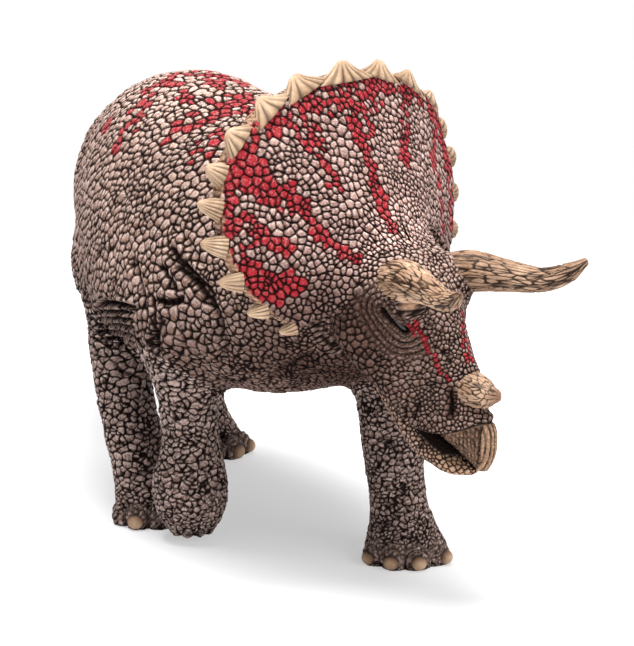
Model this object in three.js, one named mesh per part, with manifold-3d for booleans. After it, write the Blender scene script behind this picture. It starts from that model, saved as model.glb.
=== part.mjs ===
// A horned dinosaur figure, walking with its head lowered and turned, as the moulded
// pieces that such a figure is assembled from: two hollow body shells, four legs, a tail,
// a head with its frill, lower jaw and three horns. Millimetres, +X towards the front of
// the body, +Y towards its left, +Z up.
import * as THREE from "three";
import { mergeVertices } from "three/addons/utils/BufferGeometryUtils.js";
import Module from "manifold-3d";

const wasm = await Module();
wasm.setup();

// Driving dimensions of the body
const BODY_LENGTH = 117; // rump to the front of the neck
const BODY_HALF_WIDTH = 33; // midplane to the widest rib
const BACK_HEIGHT = 96; // ground to the top of the back over the hips
const SHELL_WALL = 2.4; // moulded wall of the body shells
const LEG_HEIGHT = 62; // ground to the top of a leg, inside the body's outline
const HIND_SHANK_RADIUS = 7;
const FORE_SHANK_RADIUS = 6.4;
const RIGHT_FEET_STEP = 16.7; // from the right hind sole's middle to the foreleg's
const TAIL_LENGTH = 72; // root to tip along the body
const TAIL_ROOT_RADIUS = 16;

// Driving dimensions of the head
const HEAD_TURN_DEGREES = 24; // degrees, towards the figure's left
const SKULL_HEIGHT = 46; // crown to the hook of the beak
const SKULL_DEPTH = 41; // back of the skull to the front of the beak
const SKULL_HALF_WIDTH = 14; // midplane to the cheek
const JAW_DEPTH = 3.9; // rim to the underside of the lower jaw
const MOUTH_GAPE = 3; // between the lip and the lower jaw's rim
const FRILL_REACH = 41; // root between the horns to the rim, at the top
const FRILL_HALF_WIDTH = 36.4; // midplane to the rim
const FRILL_THICKNESS = 3.4;
const FRILL_SPIKE_LENGTH = 4; // rim to tip, of the largest spike
const FRILL_SPIKE_COUNT = 19;
const BROW_HORN_LENGTH = 28; // straight forwards, root to tip
const BROW_HORN_RADIUS = 5.2; // at the root
const NOSE_HORN_LENGTH = 10.4; // root inside the snout to tip
const NOSE_HORN_RADIUS = 4.9; // at the root

// Fits between the mouldings
const SEAM_GAP = 0.3; // between two glued faces
const PEG_CLEARANCE = 0.3; // all round a glued peg
const LEG_PEG_RADIUS = 3.6;
const HORN_PEG_RADIUS = 2;
const TAIL_PEG_RADIUS = 5;
const FRILL_PEG_RADIUS = 1.3;
const SHELL_PIN_RADIUS = 1.8;
const SHELL_PIN_LENGTH = 4; // into the other shell
const SHELL_BOSS_RADIUS = 4.4;
const NECK_PLUG_REACH = 7; // the neck's plug, into the body
const CUT_OVERRUN = 6; // how far a cutting solid passes a face

// Counts of facets
const ROUND_SIDE_COUNT = 12;
const SIDE_COUNTS = { torso: 28, hollow: 16, limb: 16, skull: 24, jaw: 12, horn: 10, spike: 6, toe: 8 };
const RING_COUNTS = { torso: 21, hollow: 11, limb: 13, tail: 11, skull: 18, jaw: 8, horn: 10 };
const FRILL_STEP_COUNTS = { out: 4, round: 37 };

const X = [1, 0, 0];
const Y = [0, 1, 0];
const Z = [0, 0, 1];
const DOWN = [0, 0, -1];

// A smooth curve through the rows of a table, whose first column is the parameter. Each
// other column is a cubic that has the slope of its neighbours at every row.
function sample(table, at) {
  const last = table.length - 1;
  let row = 0;
  while (row < last - 1 && table[row + 1][0] < at) row += 1;
  const slope = (index, column) => {
    const before = Math.max(0, index - 1);
    const after = Math.min(last, index + 1);
    const run = table[after][0] - table[before][0];
    return (table[after][column] - table[before][column]) / run;
  };
  const run = table[row + 1][0] - table[row][0];
  const s = (at - table[row][0]) / run;
  return table[row].map((from, column) => {
    const to = table[row + 1][column];
    return (
      (2 * s ** 3 - 3 * s ** 2 + 1) * from +
      (s ** 3 - 2 * s ** 2 + s) * run * slope(row, column) +
      (3 * s ** 2 - 2 * s ** 3) * to +
      (s ** 3 - s ** 2) * run * slope(row + 1, column)
    );
  });
}

// Where a piece stands: its origin and its three directions along, side and up.
class Placement {
  constructor(origin, along, up) {
    this.origin = new THREE.Vector3(...origin);
    this.along = new THREE.Vector3(...along).normalize();
    this.side = new THREE.Vector3(...up).cross(this.along).normalize();
    this.up = this.along.clone().cross(this.side);
  }

  point(along, side, up) {
    return this.origin
      .clone()
      .addScaledVector(this.along, along)
      .addScaledVector(this.side, side)
      .addScaledVector(this.up, up);
  }
}

// The oval ring of a section round its middle. With a taper, the part that reaches up
// narrows by that share of the half width towards its end.
function ovalRing(middle, { side, up }, { halfWidth, reachUp, reachDown, taper = 0 }, sides) {
  return Array.from({ length: sides }, (_, k) => {
    const turn = (2 * Math.PI * k) / sides;
    const rise = Math.sin(turn);
    const width = halfWidth * (1 - taper * Math.max(0, rise));
    return middle
      .clone()
      .addScaledVector(side, width * Math.cos(turn))
      .addScaledVector(up, (rise > 0 ? reachUp : reachDown) * rise);
  });
}

// A closed mesh geometry through rings of points that turn the same way about the
// direction in which they follow each other. Each end closes on its middle.
function skin(rings) {
  const sides = rings[0].length;
  const points = rings.flat();
  const faces = [];
  rings.slice(1).forEach((_, ring) => {
    for (let k = 0; k < sides; k += 1) {
      const next = (k + 1) % sides;
      const a = ring * sides;
      const b = a + sides;
      faces.push(a + k, a + next, b + next, a + k, b + next, b + k);
    }
  });
  [0, rings.length - 1].forEach((ring) => {
    const middle = new THREE.Vector3();
    rings[ring].forEach((p) => middle.addScaledVector(p, 1 / sides));
    const centre = points.push(middle) - 1;
    for (let k = 0; k < sides; k += 1) {
      const a = ring * sides + k;
      const b = ring * sides + ((k + 1) % sides);
      faces.push(...(ring === 0 ? [centre, b, a] : [centre, a, b]));
    }
  });
  const geometry = new THREE.BufferGeometry().setFromPoints(points);
  geometry.setIndex(faces);
  return geometry;
}

// A stack of parallel oval sections along a placement. A row of its table is along, side
// and up of the section's middle, its half width, its reach up and down, and its taper if
// it has one. With grow, the solid is larger all round by that much.
function stack(place, table, rings, sides, grow = 0) {
  const first = table[0][0];
  const span = table[table.length - 1][0] - first;
  const sections = Array.from({ length: rings }, (_, ring) => {
    const share = ring / (rings - 1);
    const row = sample(table, first + share * span);
    const [along, side, up, halfWidth, reachUp, reachDown, taper] = row;
    const oval = {
      halfWidth: halfWidth + grow,
      reachUp: reachUp + grow,
      reachDown: reachDown + grow,
      taper,
    };
    return ovalRing(place.point(along + (2 * share - 1) * grow, side, up), place, oval, sides);
  });
  return solid(skin(sections));
}

// Oval sections square to a curved path. A row of its table is a share of the path's run,
// then along, side and up of a point of the path, and the section's half width and its
// reach up and down.
function sweep(place, table, rings, sides, grow = 0) {
  const rows = Array.from({ length: rings }, (_, ring) => sample(table, ring / (rings - 1)));
  const path = rows.map(([, along, side, up]) => place.point(along, side, up));
  const sections = rows.map(([, , , , halfWidth, reachUp, reachDown], ring) => {
    const before = path[Math.max(0, ring - 1)];
    const after = path[Math.min(rings - 1, ring + 1)];
    const heading = after.clone().sub(before).normalize();
    const side = place.up.clone().cross(heading).normalize();
    const up = heading.clone().cross(side);
    const end = (ring === rings - 1) - (ring === 0);
    const centre = path[ring].clone().addScaledVector(heading, end * grow);
    const oval = {
      halfWidth: halfWidth + grow,
      reachUp: reachUp + grow,
      reachDown: reachDown + grow,
    };
    return ovalRing(centre, { side, up }, oval, sides);
  });
  return solid(skin(sections));
}

// A geometry as a solid that can be joined and cut.
function solid(geometry) {
  const bare = geometry.clone();
  bare.deleteAttribute("normal");
  bare.deleteAttribute("uv");
  const merged = mergeVertices(bare);
  return new wasm.Manifold(
    new wasm.Mesh({
      numProp: 3,
      vertProperties: merged.attributes.position.array,
      triVerts: new Uint32Array(merged.index.array),
    }),
  );
}

function join(...solids) {
  return solids.flat().reduce((all, next) => all.add(next));
}

function cut(from, ...tools) {
  return tools.flat().reduce((left, tool) => left.subtract(tool), from);
}

// A round rod between two points.
function rod(start, end, radius) {
  const axis = end.clone().sub(start);
  const geometry = new THREE.CylinderGeometry(radius, radius, axis.length(), ROUND_SIDE_COUNT);
  const upright = new THREE.Vector3(...Y);
  geometry.applyQuaternion(
    new THREE.Quaternion().setFromUnitVectors(upright, axis.clone().normalize()),
  );
  geometry.translate(...start.clone().addScaledVector(axis, 1 / 2).toArray());
  return solid(geometry);
}

// An oval lump at a point, with half sizes along three directions.
function lump(centre, directions, halves) {
  const sides = SIDE_COUNTS.toe;
  const [a, b, c] = directions.map((d, i) => d.clone().multiplyScalar(halves[i]));
  const matrix = new THREE.Matrix4().makeBasis(a, b, c).setPosition(centre);
  return solid(new THREE.SphereGeometry(1, sides + 2, sides).applyMatrix4(matrix));
}

// A block over everything beyond a plane, as far as the reach.
function beyond(point, direction, reach) {
  const geometry = new THREE.BoxGeometry(2 * reach, 2 * reach, reach);
  const upright = new THREE.Vector3(...Z);
  geometry.applyQuaternion(new THREE.Quaternion().setFromUnitVectors(upright, direction));
  geometry.translate(...point.clone().addScaledVector(direction, reach / 2).toArray());
  return solid(geometry);
}

// Colours and finishes
const HIDE = { color: 0x87685e, roughness: 0.62 };
const FRILL_HIDE = { color: 0x8d665f, roughness: 0.6 };
const BONE = { color: 0xb6927c, roughness: 0.5 };
const LEG_HIDE = { color: 0x6f564d, roughness: 0.66 };

const figure = new THREE.Group();

// Adds a solid to the figure as a named mesh in its own colour.
function place(name, shape, { color, roughness }) {
  const { vertProperties, triVerts } = shape.getMesh();
  const geometry = new THREE.BufferGeometry();
  geometry.setAttribute("position", new THREE.BufferAttribute(vertProperties, 3));
  geometry.setIndex(new THREE.BufferAttribute(triVerts, 1));
  const facets = geometry.toNonIndexed();
  facets.computeVertexNormals();
  const material = new THREE.MeshStandardMaterial({ color, roughness, metalness: 0 });
  const mesh = new THREE.Mesh(facets, material);
  mesh.name = name;
  figure.add(mesh);
}

const radians = THREE.MathUtils.degToRad;
const forwards = new THREE.Vector3(...X);
const leftwards = new THREE.Vector3(...Y);
const upwards = new THREE.Vector3(...Z);
const downwards = new THREE.Vector3(...DOWN);
const FAR = BODY_LENGTH + BACK_HEIGHT; // past every face of the figure

// The body's barrel, from the rump to the neck. A row is a share of the body's length, the
// belly, middle and back as shares of the back's height, and the half width and the middle's
// place to the left as shares of the body's half width.
const TORSO_SHARES = [
  [0, 0.61, 0.73, 0.82, 0.18, 0],
  [0.03, 0.48, 0.7, 0.89, 0.39, 0],
  [0.09, 0.41, 0.66, 0.945, 0.56, 0.01],
  [0.19, 0.365, 0.62, 0.985, 0.73, 0.02],
  [0.31, 0.35, 0.6, 1, 0.88, 0.03],
  [0.44, 0.345, 0.58, 0.98, 0.97, 0.03],
  [0.56, 0.34, 0.57, 0.95, 1, 0.03],
  [0.69, 0.345, 0.57, 0.915, 0.97, 0.03],
  [0.81, 0.375, 0.59, 0.875, 0.85, 0.06],
  [0.91, 0.43, 0.62, 0.84, 0.7, 0.14],
  [1, 0.49, 0.66, 0.81, 0.53, 0.21],
];
const NECK_SEAM_SHARE = 0.87;

const bodyPlace = new Placement([0, 0, 0], X, Z);

function torso(grow, rings = RING_COUNTS.torso, sides = SIDE_COUNTS.torso) {
  const table = TORSO_SHARES.map(([length, belly, middle, back, halfWidth, left]) => [
    length * BODY_LENGTH,
    left * BODY_HALF_WIDTH,
    middle * BACK_HEIGHT,
    halfWidth * BODY_HALF_WIDTH,
    (back - middle) * BACK_HEIGHT,
    (middle - belly) * BACK_HEIGHT,
  ]);
  return stack(bodyPlace, table, rings, sides, grow);
}

const torsoOuter = torso(0);
const torsoClear = torso(SEAM_GAP);
const neckSeamX = NECK_SEAM_SHARE * BODY_LENGTH;

// Everything in front of an upright plane across the body.
function ahead(x) {
  return beyond(new THREE.Vector3(x, 0, 0), forwards, FAR);
}

// A leg. A row is a share of the leg's height, the middle's place forwards as a share of the
// leg's lean, which is how far its sole stands in front of its hip, and outwards as a share of
// the leg's height, and the half length and half width as shares of the shank's radius.
const LEGS = {
  hind_leg_right: {
    left: -1,
    hipShares: { length: 0.3, width: 0.5 },
    shank: HIND_SHANK_RADIUS,
    leanShare: 0.32,
    shares: [
      [1, 0, 0, 1.6, 0.7],
      [0.87, 0.062, 0.03, 2, 1.06],
      [0.73, 0.25, 0.02, 1.7, 1.18],
      [0.58, 0.469, 0.045, 1.3, 1.1],
      [0.42, 0.656, 0.065, 1.06, 1.02],
      [0.27, 0.812, 0.065, 1, 0.97],
      [0.15, 0.938, 0.055, 1.06, 1.02],
      [0.06, 1, 0.045, 1.16, 1.12],
      [0, 1, 0.045, 1.2, 1.16],
    ],
    toes: { headingDegrees: [-80, -45, -12, 22], outShare: 0.86, liftShare: 0.26, pitchDegrees: 0 },
  },
  hind_leg_left: {
    left: 1,
    hipShares: { length: 0.26, width: 0.44 },
    shank: HIND_SHANK_RADIUS,
    leanShare: -0.31,
    shares: [
      [1, 0, 0, 1.6, 0.7],
      [0.87, 0.129, 0.05, 2.05, 1.4],
      [0.73, 0.323, 0.07, 1.7, 1.36],
      [0.58, 0.548, 0.065, 1.3, 1.16],
      [0.42, 0.806, 0.04, 1.06, 1],
      [0.27, 1.032, 0.02, 1, 0.97],
      [0.15, 1.097, 0.005, 1.1, 1.06],
      [0.06, 1.032, 0, 1.3, 1.25],
      [0, 1, 0, 1.32, 1.28],
    ],
    toes: { headingDegrees: [-60, -25, 10, 45], outShare: 0.84, liftShare: 0.26, pitchDegrees: 0 },
  },
  foreleg_right: {
    left: -1,
    hipShares: { length: 0.7, width: 0.55 },
    shank: FORE_SHANK_RADIUS,
    aheadOf: "hind_leg_right",
    shares: [
      [1, 0, 0, 1.6, 0.7],
      [0.87, 0.182, 0.03, 2.05, 1.32],
      [0.73, 0.485, 0.045, 1.65, 1.4],
      [0.6, 0.667, 0.035, 1.3, 1.2],
      [0.48, 0.788, 0.015, 1.15, 1.1],
      [0.35, 0.848, -0.01, 1.14, 1.1],
      [0.23, 0.818, -0.035, 1.3, 1.26],
      [0.15, 0.788, -0.05, 1.36, 1.3],
      [0.07, 0.909, -0.055, 1.15, 1.15],
      [0.02, 1, -0.055, 0.7, 0.75],
    ],
    toes: { headingDegrees: [-80, -38, 5, 45], outShare: 0.75, liftShare: 0.16, pitchDegrees: 62 },
  },
  foreleg_left: {
    left: 1,
    hipShares: { length: 0.74, width: 0.56 },
    shank: FORE_SHANK_RADIUS,
    leanShare: 0.27,
    shares: [
      [1, 0, 0, 1.6, 0.7],
      [0.87, 0.111, 0.04, 1.95, 1.6],
      [0.73, 0.333, 0.04, 1.6, 1.5],
      [0.6, 0.519, 0.035, 1.3, 1.32],
      [0.48, 0.667, 0.025, 1.14, 1.16],
      [0.35, 0.796, 0.01, 1, 1.02],
      [0.22, 0.87, 0.015, 0.98, 0.98],
      [0.12, 0.926, 0.025, 1.14, 1.14],
      [0.05, 1, 0.03, 1.42, 1.42],
      [0, 1, 0.03, 1.46, 1.46],
    ],
    toes: { headingDegrees: [-89, -59, -31, 3, 29], outShare: 0.88, liftShare: 0.26, pitchDegrees: 0 },
  },
};
const TOE_SHARES = [0.44, 0.36, 0.42]; // half length, width and height, of the shank's radius
const LEG_PEG_SHARES = { top: 0.97, bottom: 0.323 }; // of the leg's and the back's height

// A leg's sole leans by a share of its height, or stands a step ahead of another leg's sole.
function legLean({ leanShare, aheadOf, hipShares }) {
  if (!aheadOf) return leanShare * LEG_HEIGHT;
  const behind = LEGS[aheadOf];
  const hipsApart = (hipShares.length - behind.hipShares.length) * BODY_LENGTH;
  return legLean(behind) + RIGHT_FEET_STEP - hipsApart;
}

function legPlace({ left, hipShares }) {
  const x = hipShares.length * BODY_LENGTH;
  const y = left * hipShares.width * BODY_HALF_WIDTH;
  return new Placement([x, y, LEG_HEIGHT], DOWN, X);
}

function legTable(leg) {
  const { left, shank, shares } = leg;
  return shares.map(([height, forward, outward, halfLength, halfWidth]) => [
    (1 - height) * LEG_HEIGHT,
    left * outward * LEG_HEIGHT,
    forward * legLean(leg),
    halfWidth * shank,
    halfLength * shank,
    halfLength * shank,
  ]);
}

// The toes stand round the front of the sole, each an oval that the ground cuts flat.
function toes(leg) {
  const { headingDegrees, outShare, liftShare, pitchDegrees } = leg.toes;
  const [down, side, forward, halfWidth, halfLength] = legTable(leg).pop();
  const middle = legPlace(leg).point(down - liftShare * leg.shank, side, forward);
  return headingDegrees.map((degrees) => {
    const level = new THREE.Vector3(Math.cos(radians(degrees)), Math.sin(radians(degrees)), 0);
    const across = upwards.clone().cross(level);
    const out = level.clone().applyAxisAngle(across, radians(pitchDegrees));
    const centre = middle
      .clone()
      .addScaledVector(forwards, outShare * halfLength * level.x)
      .addScaledVector(leftwards, outShare * halfWidth * level.y);
    const halves = TOE_SHARES.map((share) => share * leg.shank);
    return lump(centre, [out, across, out.clone().cross(across)], halves);
  });
}

// The peg that stands on a leg's saddle, or with a clearance the hole for it.
function legPeg(leg, clearance) {
  const heights = [LEG_PEG_SHARES.top * LEG_HEIGHT, LEG_PEG_SHARES.bottom * BACK_HEIGHT];
  const [top, bottom] = heights.map((height) => {
    const [down, side, forward] = sample(legTable(leg), LEG_HEIGHT - height);
    return legPlace(leg).point(down - clearance, side, forward);
  });
  return rod(bottom, top, LEG_PEG_RADIUS + clearance);
}

const legPegHoles = Object.values(LEGS).map((leg) => legPeg(leg, PEG_CLEARANCE));
const underground = beyond(new THREE.Vector3(), downwards, FAR);

function leg(leg) {
  const limb = stack(legPlace(leg), legTable(leg), RING_COUNTS.limb, SIDE_COUNTS.limb);
  const outside = cut(join(limb, toes(leg)), torsoClear, underground);
  return join(outside, legPeg(leg, 0));
}

// The tail hangs from the rump and swings to the left. A row is a share of its run, its
// place back, left and up as shares of its length, and its radius as a share of the root's.
const TAIL_SHARES = [
  [0, 0, 0, 0, 1],
  [0.2, 0.19, 0.01, -0.1, 0.82],
  [0.4, 0.38, 0.03, -0.24, 0.62],
  [0.6, 0.58, 0.08, -0.37, 0.44],
  [0.8, 0.79, 0.17, -0.47, 0.27],
  [1, 1, 0.28, -0.53, 0.08],
];
const TAIL_ROOT_SHARES = { length: 0.12, height: 0.71 };
const TAIL_PEG_SHARES = { root: 0.02, out: 0.3 }; // of the tail's run

const tailPlace = new Placement(
  [TAIL_ROOT_SHARES.length * BODY_LENGTH, 0, TAIL_ROOT_SHARES.height * BACK_HEIGHT],
  [-1, 0, 0],
  Z,
);
const tailTable = TAIL_SHARES.map(([run, back, left, up, radius]) => [
  run,
  back * TAIL_LENGTH,
  -left * TAIL_LENGTH,
  up * TAIL_LENGTH,
  radius * TAIL_ROOT_RADIUS,
  radius * TAIL_ROOT_RADIUS,
  radius * TAIL_ROOT_RADIUS,
]);

// A round peg that follows a swept piece's path between two shares of its run, or with a
// clearance the hole for it.
function pathPeg(place, table, from, to, radius, clearance) {
  const [start, end] = [from, to].map((run) => {
    const [, along, side, up] = sample(table, run);
    return place.point(along, side, up);
  });
  const back = start.clone().sub(end).setLength(clearance);
  return rod(start.add(back), end, radius + clearance);
}

function tailPeg(clearance) {
  const { root, out } = TAIL_PEG_SHARES;
  return pathPeg(tailPlace, tailTable, root, out, TAIL_PEG_RADIUS, clearance);
}

function tail() {
  const whole = sweep(tailPlace, tailTable, RING_COUNTS.tail, SIDE_COUNTS.limb);
  return join(cut(whole, torsoClear), tailPeg(0));
}

// Pins that line the two body shells up, each on a boss from the wall to the seam. A row
// is the pin's place along the body and up, as shares of its length and its back's height.
const PIN_SHARES = [
  [0.2, 0.84],
  [0.5, 0.84],
  [0.72, 0.76],
  [0.5, 0.42],
];

// One body shell, on the side that left gives, -1 or 1.
function shell(left) {
  const seam = new THREE.Vector3(0, (left * SEAM_GAP) / 2, 0);
  const otherSide = beyond(seam, leftwards.clone().multiplyScalar(-left), FAR);
  const wall = cut(torsoOuter, torso(-SHELL_WALL, RING_COUNTS.hollow, SIDE_COUNTS.hollow));
  const across = ([length, height], from, to, radius) => {
    const [x, z] = [length * BODY_LENGTH, height * BACK_HEIGHT];
    return rod(new THREE.Vector3(x, from, z), new THREE.Vector3(x, to, z), radius);
  };
  const bosses = PIN_SHARES.map((pin) =>
    across(pin, 0, left * BODY_HALF_WIDTH, SHELL_BOSS_RADIUS).intersect(torsoOuter),
  );
  const bare = cut(
    join(wall, bosses),
    otherSide,
    ahead(neckSeamX - SEAM_GAP),
    legPegHoles,
    tailPeg(PEG_CLEARANCE),
  );
  const depth = SHELL_PIN_LENGTH;
  if (left > 0) {
    const radius = SHELL_PIN_RADIUS + PEG_CLEARANCE;
    return cut(bare, PIN_SHARES.map((pin) => across(pin, 0, depth + PEG_CLEARANCE, radius)));
  }
  return join(bare, PIN_SHARES.map((pin) => across(pin, -depth, depth, SHELL_PIN_RADIUS)));
}

// The head's own frame: its origin lies between the roots of the brow horns
const BROW_SHARES = { length: 1.116, left: 0.348, height: 0.704 };
const browPoint = [
  BROW_SHARES.length * BODY_LENGTH,
  BROW_SHARES.left * BODY_HALF_WIDTH,
  BROW_SHARES.height * BACK_HEIGHT,
];
const headTurn = radians(HEAD_TURN_DEGREES);
const headForwards = [Math.cos(headTurn), Math.sin(headTurn), 0];
const headPlace = new Placement(browPoint, headForwards, Z);
const skullPlace = new Placement(browPoint, DOWN, headForwards);

// The skull from its crown down to the hook of the beak. A row is a share of its height
// below the brow, the middle of the section and its reach to the front and the back as
// shares of the skull's depth, the half width as a share of its half width, and how much
// the face narrows towards its ridge.
const SKULL_SHARES = [
  [-0.17, -0.35, 0.1, 0.08, 0.36, 0],
  [-0.12, -0.36, 0.2, 0.18, 0.64, 0],
  [-0.045, -0.34, 0.32, 0.25, 0.84, 0],
  [0.045, -0.29, 0.385, 0.29, 0.94, 0.05],
  [0.13, -0.26, 0.42, 0.3, 0.98, 0.25],
  [0.24, -0.22, 0.43, 0.28, 1, 0.5],
  [0.35, -0.17, 0.42, 0.23, 0.94, 0.5],
  [0.455, -0.07, 0.36, 0.18, 0.8, 0.45],
  [0.555, 0.02, 0.33, 0.16, 0.64, 0.4],
  [0.63, 0.11, 0.285, 0.16, 0.53, 0.35],
  [0.695, 0.23, 0.165, 0.11, 0.37, 0.2],
  [0.76, 0.3, 0.075, 0.06, 0.21, 0],
  [0.81, 0.33, 0.03, 0.03, 0.09, 0],
];

function skull(grow) {
  const table = SKULL_SHARES.map(([drop, middle, front, back, halfWidth, taper]) => [
    drop * SKULL_HEIGHT,
    0,
    middle * SKULL_DEPTH,
    halfWidth * SKULL_HALF_WIDTH,
    front * SKULL_DEPTH,
    back * SKULL_DEPTH,
    taper,
  ]);
  return stack(skullPlace, table, RING_COUNTS.skull, SIDE_COUNTS.skull, grow);
}

// The lower jaw, from the cheeks to the chin. A row is a share of its run, its place
// forwards and up as shares of the skull's depth and height, its half width as a share of
// the skull's, and its reach up and down as shares of the jaw's depth.
const JAW_SHARES = [
  [0, -0.15, -0.4, 0.68, 0.5, 1],
  [0.3, -0.035, -0.53, 0.62, 0.45, 1],
  [0.55, 0.065, -0.65, 0.53, 0.35, 0.95],
  [0.76, 0.155, -0.745, 0.43, 0.3, 0.8],
  [0.9, 0.23, -0.797, 0.33, 0.25, 0.62],
  [1, 0.29, -0.813, 0.15, 0.2, 0.35],
];

function jawSweep(grow) {
  const table = JAW_SHARES.map(([run, forward, up, halfWidth, above, below]) => [
    run,
    forward * SKULL_DEPTH,
    0,
    up * SKULL_HEIGHT,
    halfWidth * SKULL_HALF_WIDTH,
    above * JAW_DEPTH,
    below * JAW_DEPTH,
  ]);
  return sweep(headPlace, table, RING_COUNTS.jaw, SIDE_COUNTS.jaw, grow);
}

// The open mouth, a slot above the jaw's rim from one side of the snout to the other. A
// row is laid out as the jaw's, with its reach up and down as shares of the gape.
const MOUTH_SHARES = [
  [0, 0.055, -0.615, 0.95, 0.12, 0.2],
  [0.5, 0.17, -0.7, 0.95, 0.45, 0.55],
  [1, 0.285, -0.775, 0.95, 0.3, 0.5],
];

function mouth() {
  const table = MOUTH_SHARES.map(([run, forward, up, halfWidth, above, below]) => [
    run,
    forward * SKULL_DEPTH,
    0,
    up * SKULL_HEIGHT,
    halfWidth * SKULL_HALF_WIDTH,
    above * MOUTH_GAPE,
    below * MOUTH_GAPE,
  ]);
  return sweep(headPlace, table, RING_COUNTS.jaw, SIDE_COUNTS.jaw);
}

// A horn's table from its shares: run, forwards, outwards and up of its length, and its
// radius as a share of the root's.
function hornTable(shares, length, rootRadius, left = 1) {
  return shares.map(([run, forward, outward, up, radius]) => [
    run,
    forward * length,
    left * outward * length,
    up * length,
    radius * rootRadius,
    radius * rootRadius,
    radius * rootRadius,
  ]);
}

const BROW_HORN_ROOT_SHARES = { depth: -0.12, width: 0.47, height: -0.065 };
const BROW_HORN_SHARES = [
  [0, 0, 0, 0, 1],
  [0.22, 0.25, 0.1, 0.09, 0.97],
  [0.45, 0.5, 0.2, 0.08, 0.81],
  [0.7, 0.75, 0.32, 0.065, 0.54],
  [0.88, 0.91, 0.41, 0.115, 0.36],
  [1, 1, 0.475, 0.175, 0.16],
];
const BROW_HORN_PEG_SHARES = { root: 0, out: 0.4 };
const NOSE_HORN_ROOT_SHARES = { depth: 0.15, width: 0, height: -0.43 };
const NOSE_HORN_SHARES = [
  [0, 0, 0, 0, 1],
  [0.38, 0.38, 0, -0.1, 0.87],
  [0.76, 0.77, 0, -0.2, 0.56],
  [1, 1, 0, -0.22, 0.22],
];
const NOSE_HORN_PEG_SHARES = { root: -0.3, out: 0.6 };

function hornPlace({ depth, width, height }, left = 1) {
  const root = [depth * SKULL_DEPTH, left * width * SKULL_HALF_WIDTH, height * SKULL_HEIGHT];
  return new Placement(headPlace.point(...root).toArray(), headForwards, Z);
}

const HORNS = {
  brow_horn_right: {
    place: hornPlace(BROW_HORN_ROOT_SHARES, -1),
    table: hornTable(BROW_HORN_SHARES, BROW_HORN_LENGTH, BROW_HORN_RADIUS, -1),
    pegShares: BROW_HORN_PEG_SHARES,
  },
  brow_horn_left: {
    place: hornPlace(BROW_HORN_ROOT_SHARES, 1),
    table: hornTable(BROW_HORN_SHARES, BROW_HORN_LENGTH, BROW_HORN_RADIUS, 1),
    pegShares: BROW_HORN_PEG_SHARES,
  },
  nose_horn: {
    place: hornPlace(NOSE_HORN_ROOT_SHARES),
    table: hornTable(NOSE_HORN_SHARES, NOSE_HORN_LENGTH, NOSE_HORN_RADIUS),
    pegShares: NOSE_HORN_PEG_SHARES,
  },
};

function hornPeg({ place, table, pegShares }, clearance) {
  const { root, out } = pegShares;
  return pathPeg(place, table, root, out, HORN_PEG_RADIUS, clearance);
}

const skullClear = skull(SEAM_GAP);

function horn(horn) {
  const whole = sweep(horn.place, horn.table, RING_COUNTS.horn, SIDE_COUNTS.horn);
  return join(cut(whole, skullClear), hornPeg(horn, 0));
}

// The frill's rim, from its top to its lower end beside the cheek, mirrored for the other
// side. A row is its place forwards, outwards and up from the frill's root: forwards and up
// as shares of the frill's reach, and outwards as a share of its half width.
const FRILL_RIM_SHARES = [
  [-0.45, 0, 0.89],
  [-0.47, 0.33, 0.86],
  [-0.475, 0.58, 0.79],
  [-0.49, 0.79, 0.67],
  [-0.51, 0.915, 0.53],
  [-0.5, 0.995, 0.385],
  [-0.48, 1, 0.21],
  [-0.43, 0.93, 0.03],
  [-0.375, 0.79, -0.125],
  [-0.31, 0.63, -0.23],
];
const FRILL_ROOT_SHARE = -0.1; // behind the brow, of the skull's depth
const FRILL_INNER_SHARE = 0.1; // of the way from the root to the rim
const FRILL_EDGE_SHARE = 0.6; // the rim's thickness, of the plate's
const FRILL_SPAN = FRILL_RIM_SHARES.length - 1;
const FRILL_PEG_SHARES = { inner: 0.2, outer: 0.5, places: [-4, 0, 4] };
const SPIKE_SHARES = { root: 0.94, half: 0.62, thick: 0.48, lean: 0.35, leanFall: 1.6 };
const SPIKE_GIRTH_SHARES = [1, 0.66, 0.33, 0.08];
const SMALLEST_SPIKE_SHARE = 0.5;

// The rim at a place from -FRILL_SPAN, the right end, over 0, the top, to FRILL_SPAN.
const frillRimTable = FRILL_RIM_SHARES.flatMap(([forward, outward, up], step) => {
  const row = (left) => [
    left * step,
    forward * FRILL_REACH,
    left * outward * FRILL_HALF_WIDTH,
    up * FRILL_REACH,
  ];
  return step === 0 ? [row(1)] : [row(-1), row(1)];
}).sort((a, b) => a[0] - b[0]);

// A point of the frill's middle surface, a straight run from its root to the rim, and a
// shift through its thickness.
function frillPoint(at, out, shift = 0) {
  const [, forward, left, up] = sample(frillRimTable, at);
  const root = FRILL_ROOT_SHARE * SKULL_DEPTH;
  return headPlace.point(root + forward * out + shift, left * out, up * out);
}

function frillPlate() {
  const { out: outSteps, round } = FRILL_STEP_COUNTS;
  const rings = Array.from({ length: round }, (_, step) => {
    const at = FRILL_SPAN * ((2 * step) / (round - 1) - 1);
    const side = (sign) =>
      Array.from({ length: outSteps }, (_, k) => {
        const share = k / (outSteps - 1);
        const out = FRILL_INNER_SHARE + share * (1 - FRILL_INNER_SHARE);
        const half = (FRILL_THICKNESS / 2) * (1 - share * (1 - FRILL_EDGE_SHARE));
        return frillPoint(at, out, sign * half);
      });
    return [...side(-1), ...side(1).reverse()];
  });
  return solid(skin(rings));
}

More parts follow.
